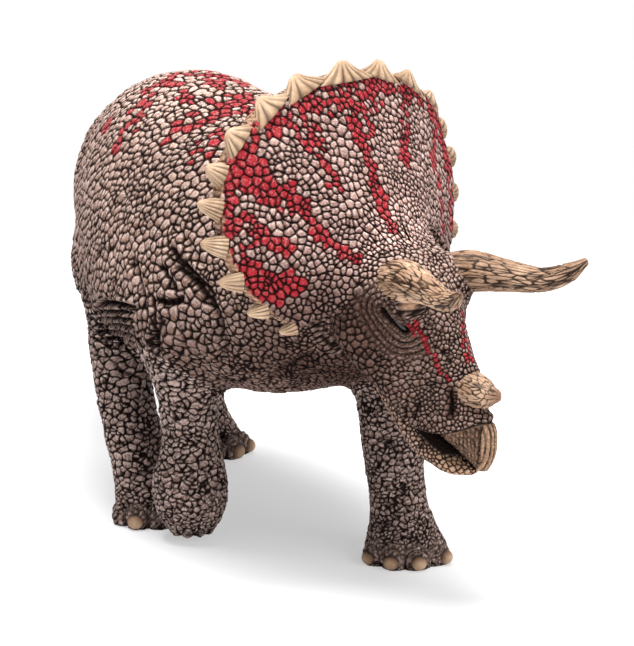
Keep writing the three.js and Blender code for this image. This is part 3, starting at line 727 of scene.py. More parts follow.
@dataclass(frozen=True)
class Workshop:
    """Turns grids into finished mesh pieces in the part's frame."""

    shift: Array
    low: Array
    high: Array

    @classmethod
    def from_frame(cls) -> "Workshop":
        """The shift from the figure's own frame, read from the body shells' boxes."""
        right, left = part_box("torso_right_shell")[0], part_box("torso_left_shell")[0]
        shift = np.array([right.x * 1000, left.y * 1000 - SEAM_GAP / 2, 0])
        low, high = (np.array(corner) * 1000 - shift for corner in CAD_BOX)
        return cls(shift, low, high)

    def piece(
        self,
        name: str,
        grids: list[tuple[Array, dict[str, Array]]],
        material: bpy.types.Material,
        nodes: tuple[str, ...],
        slot: Slot,
        cut: bool = False,
    ) -> bpy.types.Object:
        """Makes one piece of closed skins and hangs it on the part.

        Args:
            name: The piece's name.
            grids: Grids of rings with the values that the material reads, ring by ring.
            material: Its finish.
            nodes: The part's nodes that it stands for.
            slot: The record's material slot; not used.
            cut: Whether its ends are cuts that meet another piece, and so are shaded flat.

        Returns:
            The new object.
        """
        skins = [self.skin(grid) for grid, _ in grids]
        starts = np.cumsum([0] + [len(points) for points, _, _ in skins])
        quads = np.concatenate([quads + start for (_, quads, _), start in zip(skins, starts)])
        fans = np.concatenate([fans + start for (_, _, fans), start in zip(skins, starts)])
        points = np.concatenate([points for points, _, _ in skins])
        points = np.clip(points, self.low + BOX_MARGIN, self.high - BOX_MARGIN) + self.shift
        mesh = self.mesh(name, points / 1000, quads, fans, not cut)
        for key in grids[0][1]:
            values = []
            for _, marks in grids:
                ends = [marks[key][0].mean(), marks[key][-1].mean()]
                values.append(np.append(marks[key].ravel(), ends))
            layer = mesh.attributes.new(key, "FLOAT", "POINT")
            layer.data.foreach_set("value", np.concatenate(values).astype(np.float32))
        mesh.materials.append(material)
        made = bpy.data.objects.new(name, mesh)
        bpy.context.scene.collection.objects.link(made)
        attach(made, BODY)
        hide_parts(*nodes)
        LOG.info("%s: %d points, %d faces", name, len(points), len(mesh.polygons))
        return made

    @staticmethod
    def mesh(name: str, points: Array, quads: Array, fans: Array, soft: bool) -> bpy.types.Mesh:
        """A mesh of smooth four-sided faces and of fans.

        Args:
            name: The mesh's name.
            points: Its points in metres.
            quads: The four-sided faces.
            fans: The triangles of the fans.
            soft: Whether the fans are smooth too.

        Returns:
            The new mesh.
        """
        mesh = bpy.data.meshes.new(name)
        mesh.vertices.add(len(points))
        mesh.vertices.foreach_set("co", points.astype(np.float32).ravel())
        corners = np.append(quads, fans).astype(np.int32)
        mesh.loops.add(len(corners))
        mesh.loops.foreach_set("vertex_index", corners)
        starts = np.append(np.arange(len(quads)) * 4, quads.size + np.arange(len(fans)) * 3)
        mesh.polygons.add(len(starts))
        mesh.polygons.foreach_set("loop_start", starts)
        mesh.polygons.foreach_set("use_smooth", (np.arange(len(starts)) < len(quads)) | soft)
        mesh.update(calc_edges=True)
        mesh.validate()
        return mesh

    @staticmethod
    def skin(grid: Array) -> tuple[Array, Array, Array]:
        """The points and faces of a closed skin of rings, facing outwards.

        Args:
            grid: Rings of points, each ring closed on itself.

        Returns:
            The points, the four-sided faces, and the fans that close the ends.
        """
        rows, columns = grid.shape[:2]
        points = np.concatenate([grid.reshape(-1, 3), grid[[0, -1]].mean(1)])
        corner = np.arange(rows * columns).reshape(rows, columns)
        after = np.roll(corner, -1, 1)
        quads = np.stack([corner[:-1], after[:-1], after[1:], corner[1:]], -1).reshape(-1, 4)
        middle = rows * columns
        first = np.stack([np.full(columns, middle), after[0], corner[0]], -1)
        last = np.stack([np.full(columns, middle + 1), corner[-1], after[-1]], -1)
        fans = np.concatenate([first, last])
        sides = np.concatenate([quads[:, :3], quads[:, [0, 2, 3]], fans])
        a, b, c = (points[sides[:, k]] - points[-1] for k in range(3))
        if np.einsum("ij,ij->", np.cross(a, b), c) < 0:
            quads, fans = quads[:, ::-1], fans[:, ::-1]
        return points, quads, fans


def rgb(code: str) -> tuple[float, float, float, float]:
    """The linear colour of an sRGB hex code."""
    parts = [int(code[k : k + 2], 16) / 255 for k in (0, 2, 4)]
    return (*[c / 12.92 if c <= 0.04045 else ((c + 0.055) / 1.055) ** 2.4 for c in parts], 1.0)


Socket = bpy.types.NodeSocket


class Graph:
    """The node tree of a material or of the world."""

    def __init__(self, owner: bpy.types.ID) -> None:
        """Starts with the owner's tree, emptied."""
        owner.use_nodes = True
        self.owner, self.tree = owner, owner.node_tree
        self.tree.nodes.clear()

    @classmethod
    def of_material(cls, name: str) -> "Graph":
        """The empty tree of a new material of that name."""
        return cls(bpy.data.materials.new(name))

    def node(self, kind: str, settings: dict | None = None) -> bpy.types.Node:
        """Adds a node.

        Args:
            kind: The node's type.
            settings: Its properties by name, and its sockets by index or name, each with its
                value or with the socket that feeds it.

        Returns:
            The new node.
        """
        made = self.tree.nodes.new(kind)
        for key, value in (settings or {}).items():
            if isinstance(value, Socket):
                self.tree.links.new(value, made.inputs[key])
            elif isinstance(key, int) or key in made.inputs:
                made.inputs[key].default_value = value
            else:
                setattr(made, key, value)
        return made

    def mark(self, name: str) -> Socket:
        """The value of a mesh attribute."""
        return self.node("ShaderNodeAttribute", {"attribute_name": name}).outputs["Fac"]

    def blend(
        self, share: Socket, first: Socket | tuple, second: Socket | tuple, how: str = "MIX"
    ) -> Socket:
        """Mixes two colours by a share: the first at 0 and the second at 1."""
        settings = {"data_type": "RGBA", "blend_type": how, 0: share, 6: first, 7: second}
        return self.node("ShaderNodeMix", settings).outputs[2]

    def maths(self, operation: str, *values: Socket | float, clamp: bool = False) -> Socket:
        """A sum on numbers or sockets."""
        settings = {"operation": operation, "use_clamp": clamp, **dict(enumerate(values))}
        return self.node("ShaderNodeMath", settings).outputs[0]

    def line(self, value: Socket, slope: float, start: Socket | float, clamp: bool = False) -> Socket:
        """The value times the slope, plus the start."""
        return self.maths("MULTIPLY_ADD", value, slope, start, clamp=clamp)

    def shaded(self, colour: Socket, tone: str) -> Socket:
        """The colour, darkened by the tone where the skin is marked as shaded."""
        return self.blend(self.mark("shade"), colour, rgb(tone), "MULTIPLY")

    def washed(self, colour: Socket, tone: str, cover: float) -> Socket:
        """The colour under a wash that has run into the grooves; on the hide the groove mark also
        lays it as painted shade in the mouth and the folds.
        """
        return self.blend(self.maths("MULTIPLY", self.mark("groove"), cover), colour, rgb(tone))

    def seen(self) -> Socket:
        """1 for rays of the picture, straight, mirrored or through glass, and 0 for soft light."""
        path = self.node("ShaderNodeLightPath").outputs
        seen = self.maths("ADD", path["Is Camera Ray"], path["Is Glossy Ray"], clamp=True)
        return self.maths("ADD", seen, path["Is Transmission Ray"], clamp=True)

    def ramp(self, share: Socket, stops: list[tuple[float, str]]) -> Socket:
        """Colours along a share."""
        made = self.node("ShaderNodeValToRGB", {0: share})
        marks = made.color_ramp.elements
        for k, (place, code) in enumerate(stops):
            mark = marks[k] if k < 2 else marks.new(place)
            mark.position, mark.color = place, rgb(code)
        return made.outputs[0]

    def speckle(self, grain: float, detail: float = 3.0) -> Socket:
        """Noise on object coordinates, with a grain given in millimetres."""
        where = self.node("ShaderNodeTexCoord").outputs["Object"]
        settings = {"Scale": 1000 / grain, "Detail": detail, "Vector": where}
        return self.node("ShaderNodeTexNoise", settings).outputs[0]

    def finish(
        self, colour: Socket, roughness: Socket, bump: Socket, height: float, ior: float
    ) -> bpy.types.Material:
        """Closes the tree with the surface shader.

        Args:
            colour: The colour socket.
            roughness: The roughness socket.
            bump: The socket of the fine bump.
            height: The bump's height in mm.
            ior: The index of refraction.

        Returns:
            The material.
        """
        settings = {"Strength": 0.7, "Distance": height / 1000, "Height": bump}
        normal = self.node("ShaderNodeBump", settings).outputs[0]
        settings = {"IOR": ior, "Base Color": colour, "Roughness": roughness, "Normal": normal}
        surface = self.node("ShaderNodeBsdfPrincipled", settings).outputs[0]
        self.node("ShaderNodeOutputMaterial", {0: surface})
        return self.owner


@dataclass(frozen=True)
class PaintedHide:
    """Moulded PVC with a dark wash in its grooves and dry-brushing over its scales, with painted
    light and shade laid in.

    The vinyl is matt and warm brown; the wash pools near black between the scales, wider on
    each scale's lower side as painted shade, and the groove mark lays the same near black as
    painted shade in the mouth and the folds. The dry-brushing leaves each scale's crown pale
    and lies heavier on its upper side as a painted highlight, which also stands in for glints;
    each scale's tone paling up its upper side is painted light, and the shade mark darkens the
    skin as painted shade. Single scales carry a glossier crimson paint.
    """

    name: str
    wash: str = "0e0503"
    deep: str = "604539"
    middle: str = "96715f"
    pale: str = "d2ac9c"
    brush_highlight: str = "f8e0d6"
    crimson: str = "b8202f"
    crimson_dark: str = "701019"
    horn: str = "c7a283"
    horn_dark: str = "8e6b50"
    # The tone of the painted shade that the pieces' shade mark lays on.
    shade: str = "5c463d"
    cover: float = 0.98
    face: float = 0.45
    roughness: float = 0.58
    bump: float = 0.09
    ior: float = 1.22

    def material(self) -> bpy.types.Material:
        """The finish as nodes that read the pieces' marks."""
        g = Graph.of_material(self.name)
        grain, cloud, crown = g.speckle(0.5), g.speckle(6.0, 2.0), g.mark("crown")
        # Painted light: each scale's tone grows a little paler up its upper side, as if lit from above; the
        # tint and the slow cloud are the vinyl's own.
        tone = g.line(cloud, 0.75, g.line(g.mark("rise"), 0.1, g.line(g.mark("tint"), 0.35, -0.08)))
        base = g.ramp(tone, [(0.1, self.deep), (0.5, self.middle), (0.95, self.pale)])
        # Dry-brushing with painted highlight: pale patches on each scale's crown, heavier up its upper side
        # as if lit from above, which also stand in for glints.
        brush_and_top_light = g.line(g.line(g.mark("rise"), 0.12, grain), 4.0, -1.5, clamp=True)
        reach = g.line(g.mark("lip"), 1.0 - self.face, self.face)
        brushed_and_lit = g.maths("MULTIPLY", brush_and_top_light, g.maths("MULTIPLY", reach, crown), clamp=True)
        # Painted shade: the shade mark darkens the skin with the shade tone.
        skin = g.shaded(g.blend(brushed_and_lit, base, rgb(self.brush_highlight)), self.shade)
        horn = g.blend(grain, rgb(self.horn_dark), rgb(self.horn))
        skin = g.blend(g.mark("bone"), skin, horn)
        red = g.blend(grain, rgb(self.crimson_dark), rgb(self.crimson))
        coat = g.maths("MULTIPLY", g.mark("paint"), g.line(grain, -1.6, 1.75, clamp=True))
        # The near-black of the groove mark: the wash in the grooves, and painted shade in the mouth and the
        # folds.
        washed_and_shaded = g.washed(g.blend(coat, skin, red), self.wash, self.cover)
        gloss = g.line(g.mark("paint"), -0.2, self.roughness)
        gloss = g.line(g.mark("groove"), 0.4, gloss, clamp=True)
        bump = g.line(crown, 6.5, g.speckle(0.4, 2.0))
        return g.finish(washed_and_shaded, gloss, bump, self.bump, self.ior)


@dataclass(frozen=True)
class PaintedBone:
    """Moulded PVC painted as horn: cream and tan, with brown wash in its long cracks, darker
    towards the horns' tips and roots, the spikes' roots and the nails' rims, and with painted
    shade over the far brow horn and the nose horn.
    """

    name: str
    wash: str = "1c0e07"
    deep: str = "86664e"
    middle: str = "b08e74"
    pale: str = "dec0a2"
    shade: str = "7d5f4c"
    cover: float = 0.98
    roughness: float = 0.43
    bump: float = 0.08
    ior: float = 1.25

    def material(self) -> bpy.types.Material:
        """The finish as nodes that read the pieces' marks."""
        g = Graph.of_material(self.name)
        grain, cloud = g.speckle(0.7), g.speckle(4.0, 2.0)
        tone = g.line(cloud, 0.7, g.maths("MULTIPLY", grain, 0.35))
        base = g.ramp(tone, [(0.25, self.deep), (0.5, self.middle), (0.8, self.pale)])
        washed_and_shaded = g.washed(g.shaded(base, self.shade), self.wash, self.cover)
        rough = g.line(grain, 0.15, self.roughness)
        return g.finish(washed_and_shaded, rough, g.speckle(0.45, 2.0), self.bump, self.ior)


@dataclass(frozen=True)
class GlossEye:
    """Clear-coated dark paint on a small bead: near black with a sharp light in it."""

    name: str = "glossy painted eye"
    roughness: float = 0.12
    bump: float = 0.004
    ior: float = 1.5

    def material(self) -> bpy.types.Material:
        """The finish as nodes."""
        g = Graph.of_material(self.name)
        grain = g.speckle(0.5)
        colour = g.ramp(grain, [(0.3, "070403"), (0.7, "1d110b")])
        rough = g.line(grain, 0.05, self.roughness)
        return g.finish(colour, rough, grain, self.bump, self.ior)


def at_least(marks: dict[str, Array], **values: Array) -> None:
    """Raises marks to no less than the values given for them."""
    for key, value in values.items():
        marks[key] = np.maximum(marks[key], value)


@dataclass(frozen=True)
class Rings:
    """Rings of skin round a place: ridges a period apart, darker between them.

    ``smooth`` and ``clean`` are the shares of the scales' relief and grooves that the rings
    take away, and ``low`` is the part of a wave, from 0 at its middle to -1, that is darkened.
    """

    start: float
    period: float
    height: float
    smooth: float
    clean: float
    darkening: float
    low: tuple[float, float]

    def cut(self, gap: Array, share: Array, marks: dict[str, Array]) -> None:
        """Cuts the rings into the marks' relief and groove.

        Args:
            gap: Each point's distance from what the rings lie round.
            share: How strong the rings are there, from 0 to 1.
            marks: The marks to change.
        """
        wave = np.cos(2 * np.pi * (gap - self.start) / self.period)
        relief = marks["relief"] * (1 - self.smooth * share)
        marks["relief"] = relief + self.height * wave * share
        marks["groove"] = marks["groove"] * (1 - self.clean * share)
        at_least(marks, groove=self.darkening * share * ease(*self.low, wave))


EYE_RINGS = Rings(0.9, 1.15, 0.2, smooth=0.7, clean=0.75, darkening=0.95, low=(-0.25, -0.85))
NAIL_RINGS = Rings(2.3, 1.1, 0.18, smooth=0.5, clean=0.5, darkening=0.9, low=(-0.5, -0.95))


@dataclass
class Crease:
    """A fold in the skin along a line: a furrow with a soft ridge on both sides."""

    line: Array
    depth: float
    width: float

    def relief(self, points: Array) -> Array:
        """-depth exp(-(gap/width)^2) + a third of it as ridges two widths away."""
        result = np.zeros(len(points))
        low, high = self.line.min(0) - 5 * self.width, self.line.max(0) + 5 * self.width
        near = np.flatnonzero(((points > low) & (points < high)).all(1))
        if len(near):
            gap, share = line_gap(points[near] * SQUASH, self.line * SQUASH)
            fade = ease(-0.02, 0.15, share) * ease(1.02, 0.85, share)
            ridge = bell(gap - 2 * self.width, self.width)
            result[near] = self.depth * fade * (0.35 * ridge - bell(gap, self.width))
        return result


@dataclass
class SkinPart:
    """A part with scaly skin, from its form to its finished piece.

    ``spacing`` is the finished skin's spacing in mm, ``radius`` where that holds round the
    form, and ``end`` the height of the dome that closes its far end.
    """

    name: str
    nodes: tuple[str, ...]
    slot: Slot
    spacing: float = 0.28
    radius: float = 10.0
    end: float = 0.0
    grid: Array = field(init=False, repr=False)
    shown: Array = field(init=False, repr=False)
    creases: list[Crease] = field(default_factory=list, repr=False)

    @property
    def step(self) -> float:
        """The spacing of the coarse skin in mm."""
        return REFINE_FULL * self.spacing

    def core(self) -> Form:
        """The part's main form."""
        raise NotImplementedError

    def forms(self) -> list[tuple[Form, float]]:
        """The part's own forms with their fillets, the main one first."""
        return [(self.core(), 0.0)]

    def raw_grid(self) -> Array:
        """The main form's skin as a coarse grid of even rings."""
        grid = self.core().skin(self.radius, self.step)
        return dome(grid, self.end, 3) if self.end else grid

    def scale_size(self, points: Array) -> Array:
        """The width of the scales at each point, in mm."""
        raise NotImplementedError

    def shade(self, points: Array) -> Array:
        """How much painted shade darkens the skin at each point, from 0 to 1."""
        return np.zeros(len(points))

    def sculpt(self, points: Array, marks: dict[str, Array]) -> Array:
        """The part's own relief; it may change the marks too.

        Args:
            points: Places on the skin.
            marks: The values that the material reads.

        Returns:
            The points as moved by the part's own shapes.
        """
        return points

    def join(self, neighbours: list[tuple[Form, float]]) -> None:
        """Settles the skin on its own forms and its neighbours, with fillets between.

        What lies inside a neighbour keeps its place, so it sinks under the neighbour's skin.

        Args:
            neighbours: The forms that it runs into, each with its fillet's width.
        """
        raw = self.raw_grid()
        points = raw.reshape(-1, 3)
        gap = np.full(len(points), 50.0)
        for form, _ in neighbours:
            gap = np.minimum(gap, form.outside(points))
        weight = np.clip(1 + gap / 1.5, 0, 1)
        moved = settle(points, self.forms() + neighbours)
        settled = points + weight[:, None] * (moved - points)
        self.grid = settled.reshape(raw.shape)
        self.shown = (gap > -0.4).reshape(raw.shape[:2])

    def patch(self) -> Patch:
        """The coarse skin as a patch to sow."""
        across, along = slopes(self.grid)
        flat, across, along = (grid.reshape(-1, 3) for grid in (self.grid, across, along))
        return Patch(flat, across, along, self.scale_size(flat), self.shown.reshape(-1))

    def dressed(self, hide: Hide) -> tuple[Array, dict[str, Array]]:
        """The dense skin with its scales, folds and marks.

        Args:
            hide: The scale pattern.

        Returns:
            The grid of moved points, and the marks on the same grid.
        """
        grid = refine_grid(self.grid, REFINE)
        shape = grid.shape[:2]
        points = grid.reshape(-1, 3)
        marks = hide.read(points)
        marks["shade"] = self.shade(points)
        moved = self.sculpt(points, marks).reshape(grid.shape)
        relief = marks.pop("relief")
        for crease in self.creases:
            fold = crease.relief(points)
            relief = relief + fold
            # Painted shade in each fold: the shade mark darkens it, and its deepest line goes near black.
            darkening = np.clip(-fold * 2.2 - 0.9, 0, 0.9)
            at_least(marks, shade=np.clip(-fold * 1.1, 0, 0.95), groove=darkening)
        for height, length, seed in SWELLS:
            relief = relief + height * waves(points, length, seed)
        moved = moved + relief.reshape(shape)[..., None] * normals(grid)
        return moved, {key: mark.reshape(shape) for key, mark in marks.items()}

    def build(self, shop: Workshop, hide: Hide, finish: bpy.types.Material) -> None:
        """Builds the piece and hangs it on the part."""
        shop.piece(self.name, [self.dressed(hide)], finish, self.nodes, self.slot)


TORSO_SHARES = [
    [0, 0.61, 0.73, 0.82, 0.18, 0], [0.03, 0.48, 0.7, 0.87, 0.38, 0],
    [0.09, 0.41, 0.66, 0.925, 0.54, 0.01], [0.19, 0.37, 0.62, 0.97, 0.7, 0.02],
    [0.31, 0.36, 0.6, 0.995, 0.85, 0.03], [0.44, 0.355, 0.58, 0.985, 0.95, 0.03],
    [0.56, 0.35, 0.57, 0.955, 0.985, 0.03], [0.69, 0.355, 0.57, 0.925, 0.955, 0.03],
    [0.81, 0.38, 0.59, 0.89, 0.84, 0.06], [0.91, 0.43, 0.62, 0.855, 0.7, 0.14],
    [1, 0.49, 0.66, 0.81, 0.53, 0.21],
]


@dataclass
class Body(SkinPart):
    """The trunk from the rump to the neck, in two halves and a neck piece."""

    radius: float = 31.0
    end: float = 8.0
    wall_columns: int = 6

    def core(self) -> OvalStack:
        """The trunk's oval sections along the figure."""
        length, belly, middle, back, half, left = np.array(TORSO_SHARES).T
        up, down = (back - middle) * BACK_HEIGHT, (middle - belly) * BACK_HEIGHT
        middles = [length * BODY_LENGTH, left * BODY_HALF_WIDTH, middle * BACK_HEIGHT]
        table = np.column_stack([*middles, half * BODY_HALF_WIDTH, up, down, 0 * left])
        return OvalStack(Place.at(np.zeros(3), X, Z), table)

    def raw_grid(self) -> Array:
        """Rings from the top seam round the right side to the bottom seam and back."""
        stack = self.core()
        at = stack.even(self.step)
        side, _, half, *_ = curve(stack.table, at).T
        lean = np.arcsin(np.clip(side / half, -0.9, 0.9))[:, None]
        top, bottom = np.pi / 2 + lean, 3 * np.pi / 2 - lean
        columns = round(np.pi * self.radius / self.step)
        share = np.arange(columns) / columns
        right = top + (bottom - top) * share
        left = bottom + (top + 2 * np.pi - bottom) * share
        turn = np.concatenate([right, left], 1)
        return dome(stack.surface(np.broadcast_to(at[:, None], turn.shape), turn), self.end)

    def scale_size(self, points: Array) -> Array:
        """Largest on the back, smaller down the flank and towards the neck."""
        size = np.interp(points[:, 2], [34, 50, 70, 88], [1.6, 2.1, 2.2, 2.4])
        return size * (1 - 0.3 * ease(88, 112, points[:, 0]))

    def shade(self, points: Array) -> Array:
        """Painted shade: darker down the flank and under the belly, as the light from above falls off, and
        behind the frill.
        """
        low = 0.42 * ease(93, 80, points[:, 2]) + 0.36 * ease(62, 44, points[:, 2])
        return low + 0.2 * ease(96, 112, points[:, 0])

    def build(self, shop: Workshop, hide: Hide, finish: bpy.types.Material) -> None:
        """Cuts the dressed trunk into its halves, each in two stretches, and the neck."""
        grid, marks = self.dressed(hide)
        half = grid.shape[1] // 2
        along = refine_grid(self.grid, REFINE)[:, :, 0].mean(1)
        seam = int(np.searchsorted(along, NECK_SEAM_SHARE * BODY_LENGTH))
        columns = {
            "right": np.arange(half + 1),
            "left": np.arange(half, 2 * half + 1) % (2 * half),
        }
        stretches = {"rear": slice(0, seam // 2 + 1), "front": slice(seam // 2, seam + 1)}
        share = (np.arange(1, self.wall_columns) / self.wall_columns)[:, None]
        for side, pick in columns.items():
            for end, rows in stretches.items():
                outer = grid[rows][:, pick]
                first, last = outer[:, :1], outer[:, -1:]
                closed = np.hstack([outer, last + (first - last) * share[None]])
                shell = {}
                for key, value in marks.items():
                    value = value[rows][:, pick]
                    shell[key] = np.hstack([value, np.repeat(value[:, :1], len(share), 1)])
                name, node = f"body_{side}_{end}", f"torso_{side}_shell"
                shop.piece(name, [(closed, shell)], finish, (node,), self.slot, cut=True)
        neck = {key: v[seam:] for key, v in marks.items()}
        shop.piece("neck", [(grid[seam:], neck)], finish, ("head",), self.slot, cut=True)


@dataclass(frozen=True)
class Wrinkles:
    """Level wrinkles round a leg, in patches within a band of heights.

    ``sway`` is how far they wander, over what length and by which waves. ``patch`` is the
    mean strength, its swing, its length and its waves, and ``band`` the heights in mm at
    which the wrinkles start, are full, begin to fade and end.
    """

    period: float
    power: int
    depth: float
    darkening: float
    sway: tuple[float, float, int]
    patch: tuple[float, float, float, int]
    band: tuple[float, float, float, float]

    def cut(self, points: Array, share: float, marks: dict[str, Array]) -> None:
        """Cuts the wrinkles into the marks' relief and groove.

        Args:
            points: Places on the skin.
            share: How strong they are on this leg, from 0 to 1.
            marks: The marks to change.
        """
        sway, length, seed = self.sway
        level = points[:, 2] + sway * waves(points, length, seed)
        furrow = ripple(level, self.period) ** self.power
        mean, swing, length, seed = self.patch
        patchy = np.clip(mean + swing * waves(points, length, seed), 0, 1)
        start, full, fade, end = self.band
        here = share * ease(start, full, level) * ease(end, fade, level) * patchy
        marks["relief"] = marks["relief"] - self.depth * furrow * here
        at_least(marks, groove=self.darkening * ease(0.45, 0.9, furrow) * here)


KNEE_WRINKLES = Wrinkles(3.2, 5, 0.4, 0.95, (1.0, 14, 11), (0.75, 0.8, 9, 12), (39, 43, 51, 55))
SHANK_WRINKLES = Wrinkles(4.6, 7, 0.35, 0.9, (1.8, 11, 15), (0.3, 1.1, 6, 16), (8, 12, 41, 46))


@dataclass
class Leg(SkinPart):
    """A leg with its foot, toes and nails.

    ``hip`` is its place as shares of the body's length and half width, and ``shank`` the
    radius in mm of its slimmest part. ``rows`` are its sections and ``lean`` how far the sole
    stands ahead of the hip. ``toes`` are the toes' bearings, and the other toe values are
    shares of the shank or degrees. ``scale`` is the size of its scales beside the usual one.
    """

    left: int = 1
    hip: tuple[float, float] = (0, 0)
    shank: float = 7.0
    lean: float = 0.0
    rows: list[list[float]] = field(default_factory=list, repr=False)
    toes: tuple[float, ...] = ()
    toe_out: float = 0.86
    toe_lift: float = 0.26
    toe_pitch: float = 0.0
    toe_size: float = 0.48
    nailed: tuple[int, ...] = (0, 1, 2, 3)
    wrinkled: float = 1.0
    scale: float = 1.0

    def __post_init__(self) -> None:
        """The skin's columns are counted over the wide top of the leg."""
        self.radius = 1.25 * self.shank

    def core(self) -> OvalStack:
        """The leg's oval sections downwards from the hip."""
        height, forward, outward, half_length, half_width = np.array(self.rows).T
        middles = [(1 - height) * LEG_HEIGHT, self.left * outward * LEG_HEIGHT, forward * self.lean]
        reaches = [half_width * self.shank, *[half_length * self.shank] * 2, 0 * height]
        origin = [self.hip[0] * BODY_LENGTH, self.left * self.hip[1] * BODY_HALF_WIDTH, LEG_HEIGHT]
        return OvalStack(Place.at(origin, -Z, X), np.column_stack(middles + reaches))

    def toe_lumps(self) -> list[Lump]:
        """The toes as lumps round the foot's front."""
        stack = self.core()
        _, side, up, half_width, half_length, *_ = stack.table[-1]
        base = stack.place.point(np.array([stack.table[-1, 0], side, up]))
        pitch = math.radians(self.toe_pitch)
        lumps = []
        for degrees in self.toes:
            turn = math.radians(degrees)
            level = np.array([math.cos(turn), math.sin(turn), 0])
            out = level * math.cos(pitch) - Z * math.sin(pitch)
            across = np.cross(Z, level)
            middle = base + Z * self.toe_lift * self.shank
            middle = middle + self.toe_out * np.array([half_length, half_width, 0]) * level
            axes = np.array([out, across, np.cross(out, across)])
            lumps.append(Lump(middle, axes, np.array([1, 0.95, 1.05]) * self.toe_size * self.shank))
        return lumps

    def forms(self) -> list[tuple[Form, float]]:
        """The leg's stack and its toes."""
        return super().forms() + [(lump, TOE_FILLET) for lump in self.toe_lumps()]

    def scale_size(self, points: Array) -> Array:
        """Small at the foot, as large as the flank's at the hip."""
        size = np.interp(points[:, 2], [0, 5, 12, 28, 42, 60], [1.0, 1.3, 1.6, 1.75, 2.15, 2.25])
        return self.scale * size

    def shade(self, points: Array) -> Array:
        """Painted shade: darker than the body, most of all below the knee."""
        return 0.42 * ease(64, 40, points[:, 2])

    def sculpt(self, points: Array, marks: dict[str, Array]) -> Array:
        """Level wrinkles at the knee, creases between the toes and rings over the nails."""
        KNEE_WRINKLES.cut(points, self.wrinkled, marks)
        SHANK_WRINKLES.cut(points, min(self.wrinkled * 1.2, 1), marks)
        toes = np.sort(np.stack([toe.outside(points) for toe in self.toe_lumps()], 1), 1)
        between = bell(toes[:, 1] - toes[:, 0], 0.6) * ease(1.4, 0.6, toes[:, 0])
        marks["relief"] = marks["relief"] - 0.5 * between
        at_least(marks, groove=0.9 * ease(0.4, 0.9, between))
        for nail in self.nails():
            away = points - nail.middle
            reach = np.linalg.norm(away, axis=1)
            share = ease(1.7, 2.0, reach) * ease(4.3, 3.6, reach) * ease(-0.8, 0.4, away[:, 2])
            NAIL_RINGS.cut(reach, share, marks)
            at_least(marks, groove=0.9 * ease(2.0, 1.8, reach))
        return points

    def dressed(self, hide: Hide) -> tuple[Array, dict[str, Array]]:
        """The dressed skin, flat on the ground."""
        grid, marks = super().dressed(hide)
        grid[..., 2] = np.maximum(grid[..., 2], SOLE_HEIGHT)
        return grid, marks

    def nails(self) -> list[Lump]:
        """The nails: low rounded lumps on the toes' ends."""
        nails = []
        toes = self.toe_lumps()
        for index in self.nailed:
            toe = toes[index]
            out = toe.axes[0]
            middle = toe.middle + out * (toe.halves[0] - 1.0)
            place = Place.at(middle, out * 0.95 - 0.3 * Z, Z)
            nails.append(Lump(middle, place.basis, np.array([0.26, 0.28, 0.24]) * self.shank))
        return nails


def round_sweep(place: Place, shares: list, length: float, radius: float, left: int) -> OvalSweep:
    """Round sections along a path.

    Args:
        place: Where the path starts.
        shares: Rows of run, and shares along, outwards, up and of the radius.
        length: The path's length in mm.
        radius: The radius in mm at a share of 1.
        left: 1 where outwards is to the left, -1 to the right.

    Returns:
        The sweep.
    """
    run, along, outward, up, girth = np.array(shares).T
    path = np.array([along, left * outward, up]) * length
    return OvalSweep(place, np.column_stack([run, *path, *[girth * radius] * 3]))


TAIL_SHARES = [
    [0, 0, 0, 0, 1], [0.2, 0.19, 0.01, -0.1, 0.82], [0.4, 0.38, 0.03, -0.24, 0.62],
    [0.6, 0.58, 0.08, -0.37, 0.44], [0.8, 0.79, 0.17, -0.47, 0.27], [1, 1, 0.28, -0.53, 0.08],
]


@dataclass
class Tail(SkinPart):
    """The tail, hanging behind the hips."""

    radius: float = 9.5
    end: float = 1.0

    def core(self) -> OvalSweep:
        """Round sections along the tail's path."""
        root = Place.at([0.12 * BODY_LENGTH, 0, 0.71 * BACK_HEIGHT], -X, Z)
        return round_sweep(root, TAIL_SHARES, TAIL_LENGTH, TAIL_ROOT_RADIUS, -1)

    def scale_size(self, points: Array) -> Array:
        """Smaller towards the tip."""
        return np.interp(points[:, 0], [-60, -20, 5], [1.15, 1.8, 2.4])


SKULL_SHARES = [
    [-0.17, -0.35, 0.1, 0.08, 0.36, 0], [-0.12, -0.36, 0.2, 0.18, 0.64, 0],
    [-0.045, -0.34, 0.32, 0.25, 0.84, 0], [0.045, -0.29, 0.385, 0.29, 0.94, 0.05],
    [0.13, -0.26, 0.42, 0.3, 0.98, 0.25], [0.24, -0.22, 0.43, 0.28, 1, 0.5],
    [0.35, -0.17, 0.42, 0.23, 0.94, 0.5], [0.455, -0.07, 0.36, 0.18, 0.8, 0.45],
    [0.555, 0.02, 0.335, 0.16, 0.64, 0.4], [0.63, 0.11, 0.295, 0.16, 0.53, 0.35],
    [0.695, 0.23, 0.18, 0.11, 0.37, 0.2], [0.76, 0.3, 0.09, 0.06, 0.21, 0],
    [0.81, 0.33, 0.03, 0.03, 0.09, 0],
]
JAW_SHARES = [
    [0, -0.15, -0.41, 0.68, 0.7, 1.2], [0.3, -0.045, -0.56, 0.62, 0.75, 1.25],
    [0.55, 0.055, -0.69, 0.53, 0.7, 1.15], [0.76, 0.15, -0.765, 0.43, 0.55, 0.9],
    [0.9, 0.23, -0.797, 0.33, 0.25, 0.62], [1, 0.29, -0.813, 0.15, 0.2, 0.35],
]
EYE_SLIT = np.array([(-1.9, 11.0, -5.2), (-1.2, 9.9, -6.6), (-0.4, 9.3, -7.8), (0.8, 8.5, -9.3)])
EYE_KNOB = np.array([1.8, 9.0, -3.4])
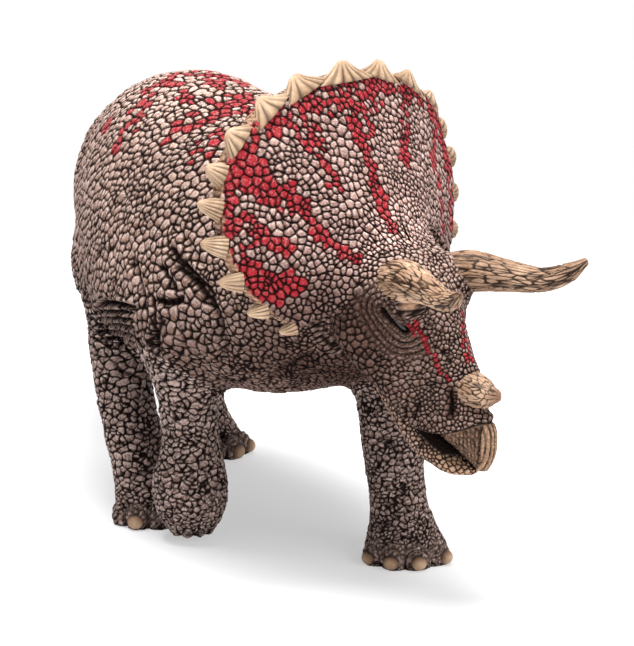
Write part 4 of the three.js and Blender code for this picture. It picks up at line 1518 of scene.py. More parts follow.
SNOUT_RIDGE = np.array(
    [(1.7, 7.9, -7.4), (3.1, 6.9, -10.4), (4.8, 6, -13.3), (6.7, 5.2, -16.7), (8.2, 4.5, -19)]
)
SNOUT_CREST = np.array([(6.2, 2.6, -7.4), (8, 0.7, -10), (9.3, -0.2, -13.6), (10, -0.2, -15.9)])
NOSTRIL = np.array([(9, 4.4, -21.2), (9.6, 4.6, -23.2), (9.8, 5, -25.4)])
NOSTRIL_FLAP = np.array([(8.2, 5.4, -23), (8.5, 5.7, -25.5)])
LIP = np.array(
    [(1.6, 8, -29.6), (3.2, 7.6, -28.5), (6.4, 6.9, -28.9), (10, 5.5, -28.6), (13.2, 3.2, -27.2)]
    + [(14.6, 0, -26.2)]
)
FACE_LINES = ((SNOUT_RIDGE, 0.5, 1.1), (NOSTRIL_FLAP, 0.6, 0.7), (NOSTRIL, -1.0, 0.5), (LIP, 0.55, 1.0))
CHEEK_FOLDS = [
    [(-3.2, 9.8, -21.5), (-2.2, 9.4, -25.5), (-1.0, 8.6, -29.5)],
    [(-0.6, 9.6, -22), (-0.4, 9.2, -25.5), (0, 8.2, -29.8)],
    [(1.9, 8.9, -22.8), (1.1, 8.6, -26), (1.2, 7.6, -29.5)],
    [(4.4, 8.0, -23), (3.4, 8.2, -25.5), (2.8, 8.1, -27.6)],
]


@dataclass
class Skull(SkinPart):
    """The head without its jaw, frill and horns: level sections down to the beak."""

    spacing: float = 0.25
    radius: float = 12.0
    end: float = 0.8

    def core(self) -> OvalStack:
        """The head's level sections, from its crown to the beak."""
        drop, middle, front, back, half, taper = np.array(SKULL_SHARES).T
        middles = [drop * SKULL_HEIGHT, 0 * drop, middle * SKULL_DEPTH]
        reaches = [half * SKULL_HALF_WIDTH, front * SKULL_DEPTH, back * SKULL_DEPTH]
        table = np.column_stack([*middles, *reaches, taper])
        return OvalStack(Place.at(HEAD_MIDDLE, -Z, HEAD.basis[0]), table)

    def bosses(self) -> list[Lump]:
        """The collars of the horns and the brow knobs."""
        rows = []
        for side in (-1, 1):
            rows.append(((-2.5, side * 6.8, -2.6), (6.4, 5.6, 6.0)))
            rows.append(((1.8, side * 8.4, -3.6), (2.3, 2.0, 2.3)))
        rows.append(((6.0, 0, -20.4), (5.0, 4.4, 4.6)))
        return [Lump(HEAD.point(np.array(spot)), HEAD.basis, np.array(size)) for spot, size in rows]

    def forms(self) -> list[tuple[Form, float]]:
        """The stack with its bosses."""
        return super().forms() + [(lump, BOSS_FILLET) for lump in self.bosses()]

    def scale_size(self, points: Array) -> Array:
        """Finest on the snout and round the eye, coarser on the cheek."""
        forward, left, up = HEAD.local(points).T
        size = 1.1 + 0.6 * ease(2, -9, forward)
        eye, _ = line_gap(np.column_stack([forward, np.abs(left), up]), EYE_SLIT)
        return size - 0.15 * ease(9, 4, eye)

    def shade(self, points: Array) -> Array:
        """Painted shade: the face is darker than the body, most of all low down and back at the cheek under
        the frill.
        """
        forward, _, up = HEAD.local(points).T
        low = 0.3 + 0.7 * ease(4, -5, up)
        return (0.66 + 0.26 * ease(3, -6, forward)) * low

    def sculpt(self, points: Array, marks: dict[str, Array]) -> Array:
        """The eye, the ridge, the nostrils, the folds at the mouth, the lips and the beak."""
        local = HEAD.local(points)
        face = local * [1, 0, 1] + np.abs(local) * [0, 1, 0]
        self.eye(face, marks)
        self.snout(face, marks)
        return HEAD.point(local * (1 - self.mouth(points, face, marks)[:, None] * [0, 1, 0]))

    def eye(self, face: Array, marks: dict[str, Array]) -> None:
        """The slit, the rings behind it and the bone-coloured knob over it."""
        forward, _, up = face.T
        eye, _ = line_gap(face * SQUASH, EYE_SLIT * SQUASH)
        behind = ease(1.2, -0.8, forward + 0.7 * (up + 6))
        EYE_RINGS.cut(eye, ease(0.7, 1.2, eye) * ease(7.0, 4.5, eye) * behind, marks)
        marks["relief"] += 0.6 * bell(eye - 1.3, 0.4) - 0.8 * bell(eye, 0.8)
        at_least(marks, groove=ease(1.05, 0.75, eye))
        knob = np.linalg.norm(face - EYE_KNOB, axis=1)
        marks["relief"] += 0.5 * ease(2.3, 1.5, knob) - 0.3 * bell(knob - 1.1, 0.25)
        marks["groove"] *= ease(1.6, 2.2, knob)
        at_least(marks, groove=ease(0.3, 0.1, np.abs(knob - 1.15)))
        marks["bone"] = 0.9 * ease(2.1, 1.7, knob)

    def snout(self, face: Array, marks: dict[str, Array]) -> None:
        """The ridge down from the eye, the nostril with its flap and the folds at the cheek."""
        for line, height, width in FACE_LINES:
            marks["relief"] += height * bell(line_gap(face, line)[0], width)
        nostril, _ = line_gap(face, NOSTRIL)
        # The nostril's slit goes near black, with painted shade round it.
        at_least(marks, groove=ease(0.6, 0.35, nostril), shade=0.9 * ease(2.6, 0.8, nostril))
        for fold in CHEEK_FOLDS:
            away, share = line_gap(face, np.array(fold))
            fade = ease(0, 0.15, share) * ease(1.0, 0.85, share)
            marks["relief"] += fade * (0.3 * bell(away - 0.95, 0.5) - 0.55 * bell(away, 0.35))
            at_least(marks, groove=fade * ease(0.4, 0.15, away))

    def mouth(self, points: Array, face: Array, marks: dict[str, Array]) -> Array:
        """The lip's lower edge, the ribbed beak and its inner plate, and the mouth painted dark as shade.

        Args:
            points: Places on the skin.
            face: The same on the head, forwards, outwards and up.
            marks: The marks to change.

        Returns:
            The share by which each place is drawn in towards the head's middle plane.
        """
        forward, _, up = face.T
        lip_height = np.interp(forward, [1, 5.8, 9.4, 12.5, 15], [-30.4, -30.0, -29.5, -28.4, -27.3])
        above, front = up - lip_height, ease(0.5, 1.5, forward)
        at_least(marks, groove=ease(0.45, 0.15, np.abs(above)) * front)
        rim = np.interp(up, [-37.5, -36, -34, -31, -27], [12.6, 14.2, 15.0, 15.2, 15.1])
        past = forward - rim
        inner = 0.737 * (forward - 5.6) + 0.676 * (up + 29.8)
        below = ease(0.1, -0.4, above)
        plate = below * ease(-0.2, 0.3, inner)
        beak = ease(-0.3, 0.3, past) * ease(-27.0, -28.2, up)
        horny, bare_plate = np.maximum(plate, beak), plate * (1 - beak)
        turn = np.where(past > 0, face[:, 1], (past + 0.12 * waves(points, 3, 22)) / 0.8)
        ribs = 1 - ripple(turn, 1)
        hatch = 1 - ripple(inner + 0.3 * waves(points, 2, 25), 1.2)
        lines = np.maximum(ribs, 0.95 * hatch * bare_plate) ** 2
        cracked = 0.65 + 0.35 * np.clip(0.5 + waves(points, 2.5, 23), 0, 1)
        slot = bell(past + 0.3, 0.4) * ease(-34, -32.5, up) * ease(-27.5, -28.5, up)
        # Painted shade: the open mouth under the lip goes near black.
        opening = below * (1 - horny) * ease(1.2, 2.0, forward)
        relief = (marks["relief"] - 0.3 * bell(above, 0.4) * front) * (1 - horny)
        marks["relief"] = (relief - 0.25 * horny * lines - 0.6 * slot) * (1 - opening)
        marks["groove"] = marks["groove"] * (1 - horny)
        for darkening in (horny * lines * cracked, 0.95 * slot, opening):
            at_least(marks, groove=darkening)
        at_least(marks, bone=np.maximum(0.75 * beak, 0.45 * plate), shade=0.7 * bare_plate)
        return np.maximum(0.8 * opening, 0.4 * plate * ease(0.2, -0.4, past))


FRILL_RIM_SHARES = [
    [-0.45, 0, 0.89], [-0.47, 0.33, 0.86], [-0.475, 0.58, 0.79], [-0.49, 0.79, 0.67],
    [-0.51, 0.915, 0.53], [-0.5, 0.995, 0.385], [-0.48, 1, 0.21], [-0.43, 0.93, 0.03],
    [-0.375, 0.79, -0.125], [-0.31, 0.63, -0.23],
]
RIM_END = len(FRILL_RIM_SHARES) - 1
FRILL_END_DEGREES = 112.3
FRILL_START = 0.1


@dataclass
class Plate(Form):
    """The frill's plate: straight runs from its root to its rim, thinner at the rim."""

    root: float = -0.1 * SKULL_DEPTH
    table: Array = field(init=False)
    bearing: Array = field(init=False)
    marks: Array = field(init=False)

    def __post_init__(self) -> None:
        """Mirrors the rim's rows and reads its bearings once."""
        rows = np.array(FRILL_RIM_SHARES) * [FRILL_REACH, FRILL_HALF_WIDTH, FRILL_REACH]
        both = np.vstack([rows[:0:-1] * [1, -1, 1], rows])
        self.table = np.column_stack([np.arange(-RIM_END, RIM_END + 1), both])
        self.marks = np.linspace(-RIM_END, RIM_END, 361)
        rim = curve(self.table, self.marks)
        self.bearing = np.arctan2(rim[:, 1], rim[:, 2])

    def edge(self, at: Array) -> Array:
        """The share out of the scaly plate's edge: past the rim on top, short of it elsewhere."""
        return 1.035 - 0.075 * ease(2.5, 6, np.abs(at))

    def half(self, out: Array) -> Array:
        """Half the plate's thickness at a share of the way out."""
        return FRILL_THICKNESS / 2 * (1 - 0.4 * (out - FRILL_START) / (1 - FRILL_START))

    def point(self, at: Array, out: Array, shift: Array) -> Array:
        """Root + out times the rim's row, moved forwards by the shift."""
        rim = curve(self.table, at)
        local = rim * out[..., None]
        local[..., 0] += self.root + shift
        return HEAD.point(local)

    def polar(self, points: Array) -> tuple[Array, ...]:
        """Each point's place on the plate.

        Args:
            points: Places in mm.

        Returns:
            The bearing in degrees, the reach in mm, the share out and the gap forwards.
        """
        forward, left, up = HEAD.local(points).T
        bearing = np.arctan2(left, up)
        at = np.interp(bearing, self.bearing, self.marks)
        rim = curve(self.table, at)
        reach = np.hypot(left, up)
        out = reach / np.hypot(rim[:, 1], rim[:, 2])
        gap = forward - self.root - rim[:, 0] * out
        return np.degrees(bearing), reach, out, gap

    def outside(self, points: Array) -> Array:
        """The gap square to the plate, joined with the gap past its rim and its ends."""
        bearing, reach, out, gap = self.polar(points)
        flat = np.abs(gap) * FRILL_LEAN_COSINE - self.half(np.clip(out, 0, 1))
        at = np.interp(np.radians(bearing), self.bearing, self.marks)
        full = self.edge(at) * reach / np.maximum(out, 1e-6)
        past = np.maximum(reach - full, np.radians(np.abs(bearing) - FRILL_END_DEGREES) * reach)
        return self.capped(flat, past)


FRILL_STREAKS = [
    ([(-30, 38), (-38, 39), (-46, 40), (-56, 39.6), (-66, 38), (-76, 35), (-84, 32), (-91, 29)], 1.6, 0.75),
    ([(-55, 38), (-55, 34), (-55, 30), (-54, 27)], 2.0, 0.95),
    ([(-54, 27), (-58, 23), (-63, 20), (-67, 17), (-71, 13)], 0.8, 0.95),
    ([(-49, 38), (-49, 34), (-52, 29.5)], 1.4, 0.85),
    ([(-66, 37), (-68, 33), (-72, 29), (-74, 25.4)], 1.2, 0.9),
    ([(-84, 33), (-88, 29), (-90, 23)], 1.4, 0.9),
    ([(-93, 30), (-96, 25.5)], 1.0, 0.85),
    ([(-25, 37.4), (-27, 34.6), (-30, 32.8), (-27, 30.6)], 2.2, 0.7),
    ([(-36, 38), (-27, 37), (-19, 37), (-10, 37), (0, 37), (12, 37)], 2.2, 0.7),
    ([(-22, 34), (-10, 33), (2, 33), (14, 33)], 1.6, 0.4),
    ([(-32, 29.5), (-30, 26), (-35, 22)], 0.9, 0.65),
    ([(-7, 36), (-7, 33), (-2, 35), (-5, 31), (-7, 27)], 1.5, 0.85),
    ([(-7, 27), (-6, 24.7), (-6, 20.4), (-12, 16.6), (-10, 14.5), (-20, 11.3), (-15, 8.8)], 0.8, 0.95),
    ([(12, 35), (7, 31), (0, 26.7)], 1.2, 0.7),
    ([(30, 37), (29, 32), (28, 28), (23, 22)], 1.1, 0.8),
    ([(43, 40), (46, 38), (53, 38.7), (52, 33.7), (52, 28), (60, 27), (67, 24.7), (78, 22.6)], 1.0, 0.85),
    ([(12, 36), (20, 37), (32, 38), (43, 39), (56, 38), (68, 36), (84, 31)], 1.6, 0.7),
]


SPIKE_RUN = [0, 0.3, 0.5, 0.7, 0.87, 0.95, 1]
SHARP_SPIKE = [1.15, 0.8, 0.56, 0.38, 0.25, 0.17, 0.07]
BLUNT_SPIKE = [1.15, 1.0, 0.85, 0.65, 0.44, 0.28, 0.1]


def on_plate(degrees: Array, reach: Array) -> Array:
    """Places on the frill laid flat, from their bearings and reaches."""
    turn = np.radians(degrees)
    return np.column_stack([reach * np.sin(turn), reach * np.cos(turn)])


@dataclass
class Frill(SkinPart):
    """The neck frill: a thin plate with scales on both sides, and its rim spikes."""

    radius: float = 36.0
    plate: Plate = field(default_factory=Plate, repr=False)

    def core(self) -> Plate:
        """The plate."""
        return self.plate

    def raw_grid(self) -> Array:
        """Loops across the plate, out along its front and back along its rear."""
        at = np.linspace(-RIM_END, RIM_END, 1201)
        rim = self.plate.point(at, np.ones_like(at), np.zeros_like(at))
        at = spread(at, np.linalg.norm(np.diff(rim, axis=0), axis=1), self.step)
        count = round(self.radius / self.step)
        share = np.arange(count + 1) / count
        half = self.plate.half(FRILL_START + (1 - FRILL_START) * share)
        bow = np.linspace(0, np.pi, 5)[1:-1]
        shares = np.concatenate([share, np.ones(len(bow)), share[::-1]])
        lip = np.concatenate([0 * share, 0.024 * np.sin(bow), 0 * share])
        outs = FRILL_START + (self.plate.edge(at)[:, None] - FRILL_START) * shares + lip
        shifts = np.concatenate([-half, -half[-1] * np.cos(bow), half[::-1]])
        return self.plate.point(np.broadcast_to(at[:, None], outs.shape), outs, shifts)

    def scale_size(self, points: Array) -> Array:
        """Smaller towards the face."""
        _, reach, _, _ = self.plate.polar(points)
        return np.interp(reach, [7, 20, 40], [1.15, 1.55, 1.8])

    def shade(self, points: Array) -> Array:
        """Painted shade: palest above the face, darker further out and darkest low at the sides."""
        bearing, reach, _, _ = self.plate.polar(points)
        return 0.38 * ease(9, 17, reach) + 0.4 * ease(72, 98, np.abs(bearing))

    def red(self, points: Array) -> Array:
        """The chance of red paint at each place of the front face, along its streaks."""
        bearing, reach, out, gap = self.plate.polar(points)
        flat = on_plate(bearing, reach)
        chance = np.zeros(len(points))
        for line, width, thick in FRILL_STREAKS:
            away, _ = line_gap(flat, on_plate(*np.array(line, float).T))
            chance = np.maximum(chance, thick * ease(width + 1.0, width, away))
        return chance * (gap > -0.3) * (np.abs(gap) < 4) * (reach > 5.5)

    def sculpt(self, points: Array, marks: dict[str, Array]) -> Array:
        """The bony rim between the spikes: smooth, with fine furrows across it."""
        bearing, _, share, _ = self.plate.polar(points)
        at = np.interp(np.radians(bearing), self.plate.bearing, self.plate.marks)
        edge = self.plate.edge(at) - 0.005 - 0.012 * np.clip(waves(points, 3, 61), 0, 1)
        rim = ease(0, 0.012, share - edge)
        furrow = (0.5 + 0.5 * np.cos(np.radians(bearing) * 230)) ** 3
        marks["bone"] = rim
        marks["paint"] = marks["paint"] * (1 - rim)
        marks["groove"] = np.maximum(marks["groove"] * (1 - rim), 0.55 * furrow * rim)
        marks["relief"] = marks["relief"] * (1 - rim) - 0.12 * furrow * rim
        return points

    def build(self, shop: Workshop, hide: Hide, finish: bpy.types.Material) -> None:
        """Cuts the dressed plate into its right and left halves, and closes each."""
        grid, marks = self.dressed(hide)
        middle = len(grid) // 2
        for side, rows in (("right", slice(0, middle + 1)), ("left", slice(middle, None))):
            half = {key: v[rows] for key, v in marks.items()}
            name = f"{self.name}_{side}"
            shop.piece(name, [(grid[rows], half)], finish, self.nodes, self.slot, cut=True)

    def spikes(self) -> list[tuple[Array, dict[str, Array]]]:
        """The rim's spikes, from its right end to its left."""
        return [self.spike(index) for index in range(FRILL_SPIKES)]

    def spike(self, index: int) -> tuple[Array, dict[str, Array]]:
        """A broad flat cone with fine furrows along it, slim on top and blunt at the sides.

        Args:
            index: Its place on the rim, counted from the right end.

        Returns:
            Its rings and their marks.
        """
        run, turn = np.linspace(0, 0.98, 15), full_turn(48)
        share = 2 * index / (FRILL_SPIKES - 1) - 1
        at = np.array([share * RIM_END])
        size = 1 - 0.5 * share**2
        rim, inner = self.plate.point(np.append(at, at), np.array([1, 0.9]), np.zeros(2))
        out = (rim - inner) / np.linalg.norm(rim - inner)
        out = out + HEAD.basis[0] * 0.35 * (1 - 1.6 * abs(share))
        tip = rim + size * FRILL_SPIKE_LENGTH * out / np.linalg.norm(out)
        blunt = float(ease(0.2, 0.5, abs(share)))
        base = self.plate.edge(at) - 0.045 + 0.035 * blunt
        start = self.plate.point(at, base, np.zeros(1))[0]
        length = np.linalg.norm(tip - start)
        spots = np.clip(at + [-0.5, 0.5], -RIM_END, RIM_END)
        ends = self.plate.point(spots, np.ones(2), np.zeros(2))
        along = ends[1] - ends[0]
        width = np.linalg.norm(along) * (1 if abs(share) < 0.99 else 2)
        sharp = np.interp(run, SPIKE_RUN, SHARP_SPIKE)
        girth = sharp + (np.interp(run, SPIKE_RUN, BLUNT_SPIKE) - sharp) * blunt
        half_width = (0.58 - 0.27 * blunt) * size * width * girth
        half_thick = 0.5 * FRILL_THICKNESS * np.minimum(girth, 1)
        furrow = 0.5 - 0.5 * np.cos(turn * 13 + 1.7 * np.sin(turn * 2 + index))
        side = half_width[:, None] * np.cos(turn) * (1 + 0.14 * furrow)
        up = half_thick[:, None] * np.sin(turn) * (1 + 0.14 * furrow)
        local = np.stack([run[:, None] * length + 0 * turn, side, up], -1)
        place = Place.at(start, tip - start, np.cross(tip - start, along))
        groove = (1 - furrow) ** 3 * ease(1.0, 0.5, run)[:, None] * 0.9
        shade = 0.2 * ease(0.45, 0.1, run)[:, None] + 0 * turn
        return place.point(local), {"groove": groove, "shade": shade}


@dataclass
class Jaw(SkinPart):
    """The lower jaw, a trough under the mouth."""

    spacing: float = 0.25
    radius: float = 6.0
    end: float = 0.6

    def core(self) -> OvalSweep:
        """Oval sections along the mouth's lower edge."""
        run, forward, up, half, above, below = np.array(JAW_SHARES).T
        path = [forward * SKULL_DEPTH, 0 * run, up * SKULL_HEIGHT]
        reaches = [half * SKULL_HALF_WIDTH, above * JAW_DEPTH, below * JAW_DEPTH]
        return OvalSweep(HEAD, np.column_stack([run, *path, *reaches]))

    def scale_size(self, points: Array) -> Array:
        """Small scales all along."""
        return np.full(len(points), 1.1)

    def shade(self, points: Array) -> Array:
        """Painted shade, as dark as the face."""
        return np.full(len(points), 0.5)

    def sculpt(self, points: Array, marks: dict[str, Array]) -> Array:
        """The lower beak's horny edge, tan towards the chin, and the mouth inside it painted near black as
        shade.
        """
        sweep = self.core()
        run, _ = sweep.share(points)
        away = points - sweep.read(sweep.middle, run)
        up = (away * sweep.read(sweep.frames, run)[:, 2]).sum(-1)
        # Painted shade: the jaw's upper side, inside the mouth, goes near black.
        inside = ease(1.0, 1.6, up)
        marks["bone"] = (0.3 + 0.5 * ease(2, 9, HEAD.local(points)[:, 0])) * (1 - inside)
        at_least(marks, groove=inside)
        marks["relief"] = marks["relief"] * (1 - inside)
        return points


@dataclass
class Horn:
    """A horn of painted bone: round sections along a path, with long wavy cracks."""

    name: str
    node: str
    left: int
    length: float
    radius: float
    root: tuple[float, float, float]
    shares: list[list[float]] = field(repr=False)
    spacing: float = 0.17
    fibre: float = 7.0
    # The least painted shade over the whole horn.
    darkening: float = 0.0
    crack_depth: float = 0.22
    swell: float = 0.1

    def sweep(self) -> OvalSweep:
        """Round sections along the horn's path."""
        root = HEAD.point(np.array(self.root) * [SKULL_DEPTH, SKULL_HALF_WIDTH, SKULL_HEIGHT])
        place = Place.at(root, HEAD.basis[0], Z)
        return round_sweep(place, self.shares, self.length, self.radius, self.left)

    def build(self, shop: Workshop, finish: bpy.types.Material) -> None:
        """The horn's skin with its cracks: cells drawn out along it, their edges cut in."""
        sweep = self.sweep()
        run = sweep.even(self.spacing)
        columns = round(2 * np.pi * self.radius * 0.85 / self.spacing)
        grid = dome(sweep.rings(run, columns), sweep.girth[-1, 0] * 0.9, 4)
        rows, turn = len(grid), full_turn(columns)
        share = np.concatenate([run, np.ones(rows - len(run))])
        girth = np.interp(share, np.linspace(0, 1, sweep.samples), sweep.girth[:, 0])
        girth = np.maximum(girth, 0.35 * self.radius)[:, None]
        along = np.cumsum(np.append(0, np.linalg.norm(np.diff(grid.mean(1), axis=0), axis=1)))
        drawn_in = along[:, None] / self.fibre + 0 * turn
        unrolled = np.stack([girth * np.cos(turn), girth * np.sin(turn), drawn_in], -1)
        unrolled = unrolled.reshape(-1, 3)
        unrolled += 0.15 * np.stack([waves(unrolled, 1.6, 31 + k) for k in range(3)], -1)
        random = np.random.default_rng(17 + self.left)
        count = int(len(unrolled) * (self.spacing**2) / (self.fibre * 0.45))
        seeds = unrolled[random.permutation(len(unrolled))[:count]]
        _, first, second = nearest_two(unrolled, seeds, np.zeros(count), 1.6)
        edge = ((second - first) / 2).reshape(rows, columns)
        wide = 0.5 + 0.5 * waves(unrolled, 2.0, 41).reshape(rows, columns)
        crack = 1 - ease(0.02, 0.06 + 0.07 * np.clip(wide, 0, 1), edge)
        crack = crack * np.clip(0.7 + wide, 0, 1)
        sunk = self.crack_depth * crack - self.swell * (wide - 0.5)
        grid = grid - sunk[..., None] * normals(grid)
        shade = 0.45 * ease(0.85, 1.0, share) + 0.4 * ease(0.12, 0.02, share)
        # Painted shade: the far brow horn and the nose horn are darkened all over by a floor of it.
        shade = np.maximum(shade, self.darkening)[:, None] + 0 * turn
        marks = {"groove": crack, "shade": shade}
        shop.piece(self.name, [(grid, marks)], finish, (self.node,), Slot.BONE)


BACK_SPOTS = [
    (37, -4, 95), (40, 0, 96), (44, 3, 95), (47, 5, 94), (50, 7, 93), (50, -1, 94), (51, -6, 93),
    (43, -9, 93), (43, -13, 91), (53, -9, 92), (59, -7, 91), (56, -1, 93), (58, 2, 93), (64, 1, 92),
    (63, -2, 91), (65, -7, 90), (64, -11, 89), (65, -14, 87), (74, -10, 87), (77, -14, 85),
    (42, -16, 89), (46, -18, 87), (30, -19, 83), (46, -20, 85), (38, -9, 93), (39, -7, 94),
]


def back_red(points: Array) -> Array:
    """The chance of red paint on the back: clusters along the spine, fewer down the flank."""
    spots = np.array(BACK_SPOTS, float)
    spots = np.vstack([spots, spots[14:] * [1, -1, 1]])
    near = np.linalg.norm(points[:, None] - spots, axis=2).min(1)
    return 0.6 * ease(4.8, 3.0, near) * (points[:, 0] < 96)


def aim(data: bpy.types.ID, place: Vector, back: Vector) -> bpy.types.Object:
    """Stands a camera or lamp at a place, looking the other way from back."""
    made = bpy.data.objects.new(data.name, data)
    made.location, made.rotation_euler = place, (-back).to_track_quat("-Z", "Y").to_euler()
    bpy.context.scene.collection.objects.link(made)
    return made


@dataclass(frozen=True)
class Studio:
    """The camera, the soft lights and the pale floor, in metres, degrees and watts.

    Each lamp is its name, its place, the side of its square and its power. ``air`` is the
    strength of the light from all round, ``glow`` the least share of plain white in the
    floor, and ``fade`` the distances between which the floor turns all white.
    """

    distance: float = 0.62
    turn: float = 25.0
    rise: float = 13.7
    lens: float = 110.56
    sensor: float = 24.0
    clip: tuple[float, float] = (0.01, 20)
    target: tuple[float, float, float] = (0.04322, 0.001645, 0.0506)
    middle: tuple[float, float, float] = (0, 0, 0.05)
    lamps: tuple = (("key", (0.12, -0.08, 1.1), 0.6, 22.0), ("fill", (0.9, 0.25, 0.55), 0.8, 5.0))
    air: float = 0.4
    floor_reach: float = 6.0
    fade: tuple[float, float] = (0.12, 0.34)
    glow: float = 0.45

    def camera(self) -> None:
        """The camera at the photograph's place, its sensor fitted to the frame's height."""
        turn, rise = math.radians(self.turn), math.radians(self.rise)
        level = math.cos(rise)
        back = Vector((math.cos(turn) * level, -math.sin(turn) * level, math.sin(rise)))
        data = bpy.data.cameras.new("camera")
        data.sensor_fit, data.sensor_height, data.lens = "VERTICAL", self.sensor, self.lens
        data.clip_start, data.clip_end = self.clip
        bpy.context.scene.camera = aim(data, Vector(self.target) + back * self.distance, back)

    def light(self) -> None:
        """A broad soft key right above the figure, a weak fill from the front right, soft air."""
        for name, place, size, power in self.lamps:
            data = bpy.data.lights.new(name, "AREA")
            data.size, data.energy = size, power
            aim(data, Vector(place), Vector(place) - Vector(self.middle))
        world = bpy.data.worlds.new("air")
        bpy.context.scene.world = world
        g = Graph(world)
        power = g.node("ShaderNodeMapRange", {3: self.air, 4: 1.0, 0: g.seen()}).outputs[0]
        air = g.node("ShaderNodeBackground", {1: power}).outputs[0]
        g.node("ShaderNodeOutputWorld", {0: air})

    def floor(self) -> None:
        """A pale floor that takes the shadow and fades to white away from the figure."""
        mesh, reach = bpy.data.meshes.new("floor"), self.floor_reach
        corners = [(-reach, -reach, 0), (reach, -reach, 0), (reach, reach, 0), (-reach, reach, 0)]
        mesh.from_pydata(corners, [], [(0, 1, 2, 3)])
        g = Graph.of_material("matt white studio paper")
        where = g.node("ShaderNodeTexCoord").outputs["Object"]
        far = g.node("ShaderNodeVectorMath", {"operation": "LENGTH", 0: where}).outputs["Value"]
        start, end = self.fade
        settings = {1: start, 2: end, "interpolation_type": "SMOOTHSTEP", 0: far}
        fade = g.node("ShaderNodeMapRange", settings).outputs[0]
        paper = g.node("ShaderNodeBsdfDiffuse", {0: rgb("fbfbfd")}).outputs[0]
        glow = g.node("ShaderNodeEmission", {0: rgb("ffffff"), 1: 1.0}).outputs[0]
        share = g.maths("MULTIPLY", g.maths("MAXIMUM", fade, self.glow), g.seen())
        mixed = g.node("ShaderNodeMixShader", {0: share, 1: paper, 2: glow}).outputs[0]
        g.node("ShaderNodeOutputMaterial", {0: mixed})
        mesh.materials.append(g.owner)
        made = bpy.data.objects.new("floor", mesh)
        bpy.context.scene.collection.objects.link(made)


def figure_leg(node: str, left: int, rows: list[list[float]], **stance) -> Leg:
    """A leg that stands for a node, with its section rows and the rest of its stance."""
    return Leg(f"{node}_skin", (node,), Slot.LEG_HIDE, left=left, rows=rows, **stance)


def figure_legs() -> list[Leg]:
    """The four legs with their own stance."""
    right_sole = 0.3 * BODY_LENGTH + 0.32 * LEG_HEIGHT
    fore_lean = right_sole + 16.7 - 0.7 * BODY_LENGTH
    hind_right = [
        [1, 0, 0, 1.6, 0.7], [0.87, 0.062, 0.035, 2, 1.06], [0.73, 0.25, 0.03, 1.6, 1.12],
        [0.58, 0.469, 0.07, 1.2, 0.93], [0.42, 0.656, 0.075, 0.98, 0.9],
        [0.27, 0.812, 0.06, 0.96, 0.9], [0.15, 0.938, 0.045, 1.0, 0.95],
        [0.06, 1, 0.035, 1.1, 1.04], [0, 1, 0.035, 1.14, 1.08],
    ]
    hind_left = [
        [1, 0, 0, 1.6, 0.7], [0.87, 0.129, 0.05, 2.05, 1.4], [0.73, 0.37, 0.055, 1.6, 1.25],
        [0.58, 0.63, 0.02, 1.2, 0.95], [0.42, 0.9, -0.02, 1, 0.82], [0.27, 1.08, -0.03, 0.96, 0.8],
        [0.15, 1.12, -0.025, 1.04, 0.95], [0.06, 1.04, -0.01, 1.25, 1.2],
        [0, 1, -0.01, 1.28, 1.24],
    ]
    fore_right = [
        [1, 0, 0, 1.6, 0.7], [0.87, 0.15, 0.025, 2.0, 1.3], [0.73, 0.36, 0.03, 1.55, 1.28],
        [0.6, 0.48, 0.01, 1.2, 1.08], [0.48, 0.6, -0.01, 1.02, 0.98],
        [0.35, 0.72, -0.025, 1.0, 0.96], [0.24, 0.82, -0.025, 1.24, 1.2],
        [0.16, 0.86, -0.03, 1.34, 1.24], [0.08, 0.95, -0.035, 1.1, 1.05],
        [0.02, 1, -0.045, 0.62, 0.66],
    ]
    fore_left = [
        [1, 0, 0, 1.6, 0.7], [0.87, 0.111, 0.04, 1.95, 1.6], [0.73, 0.333, 0.04, 1.6, 1.5],
        [0.6, 0.519, 0.035, 1.3, 1.32], [0.48, 0.667, 0.025, 1.14, 1.16],
        [0.35, 0.796, 0.01, 1, 1.02], [0.22, 0.87, 0.015, 0.96, 0.94],
        [0.12, 0.926, 0.025, 1.1, 1.08], [0.05, 1, 0.03, 1.38, 1.36], [0, 1, 0.03, 1.42, 1.4],
    ]
    toe_pad = {"toe_out": 0.6, "toe_lift": 0.3, "toe_pitch": 62.0, "toe_size": 0.4}
    return [
        figure_leg(
            "hind_leg_right", -1, hind_right, hip=(0.3, 0.5), shank=7.0, lean=0.32 * LEG_HEIGHT,
            toes=(-78, -42, -4, 34), toe_out=0.8, nailed=(1, 3),
        ),
        figure_leg(
            "hind_leg_left", 1, hind_left, hip=(0.26, 0.44), shank=7.0, lean=-0.31 * LEG_HEIGHT,
            toes=(-52, -14, 22, 56), toe_out=0.84,
        ),
        figure_leg(
            "foreleg_right", -1, fore_right, hip=(0.7, 0.55), shank=6.4, lean=fore_lean,
            toes=(-80, -38, 5, 45), nailed=(), wrinkled=0.2, **toe_pad,
        ),
        figure_leg(
            "foreleg_left", 1, fore_left, hip=(0.74, 0.56), shank=6.4, lean=0.27 * LEG_HEIGHT,
            toes=(-80, -45, -10, 34), toe_out=0.82, wrinkled=0.6, scale=0.82,
        ),
    ]


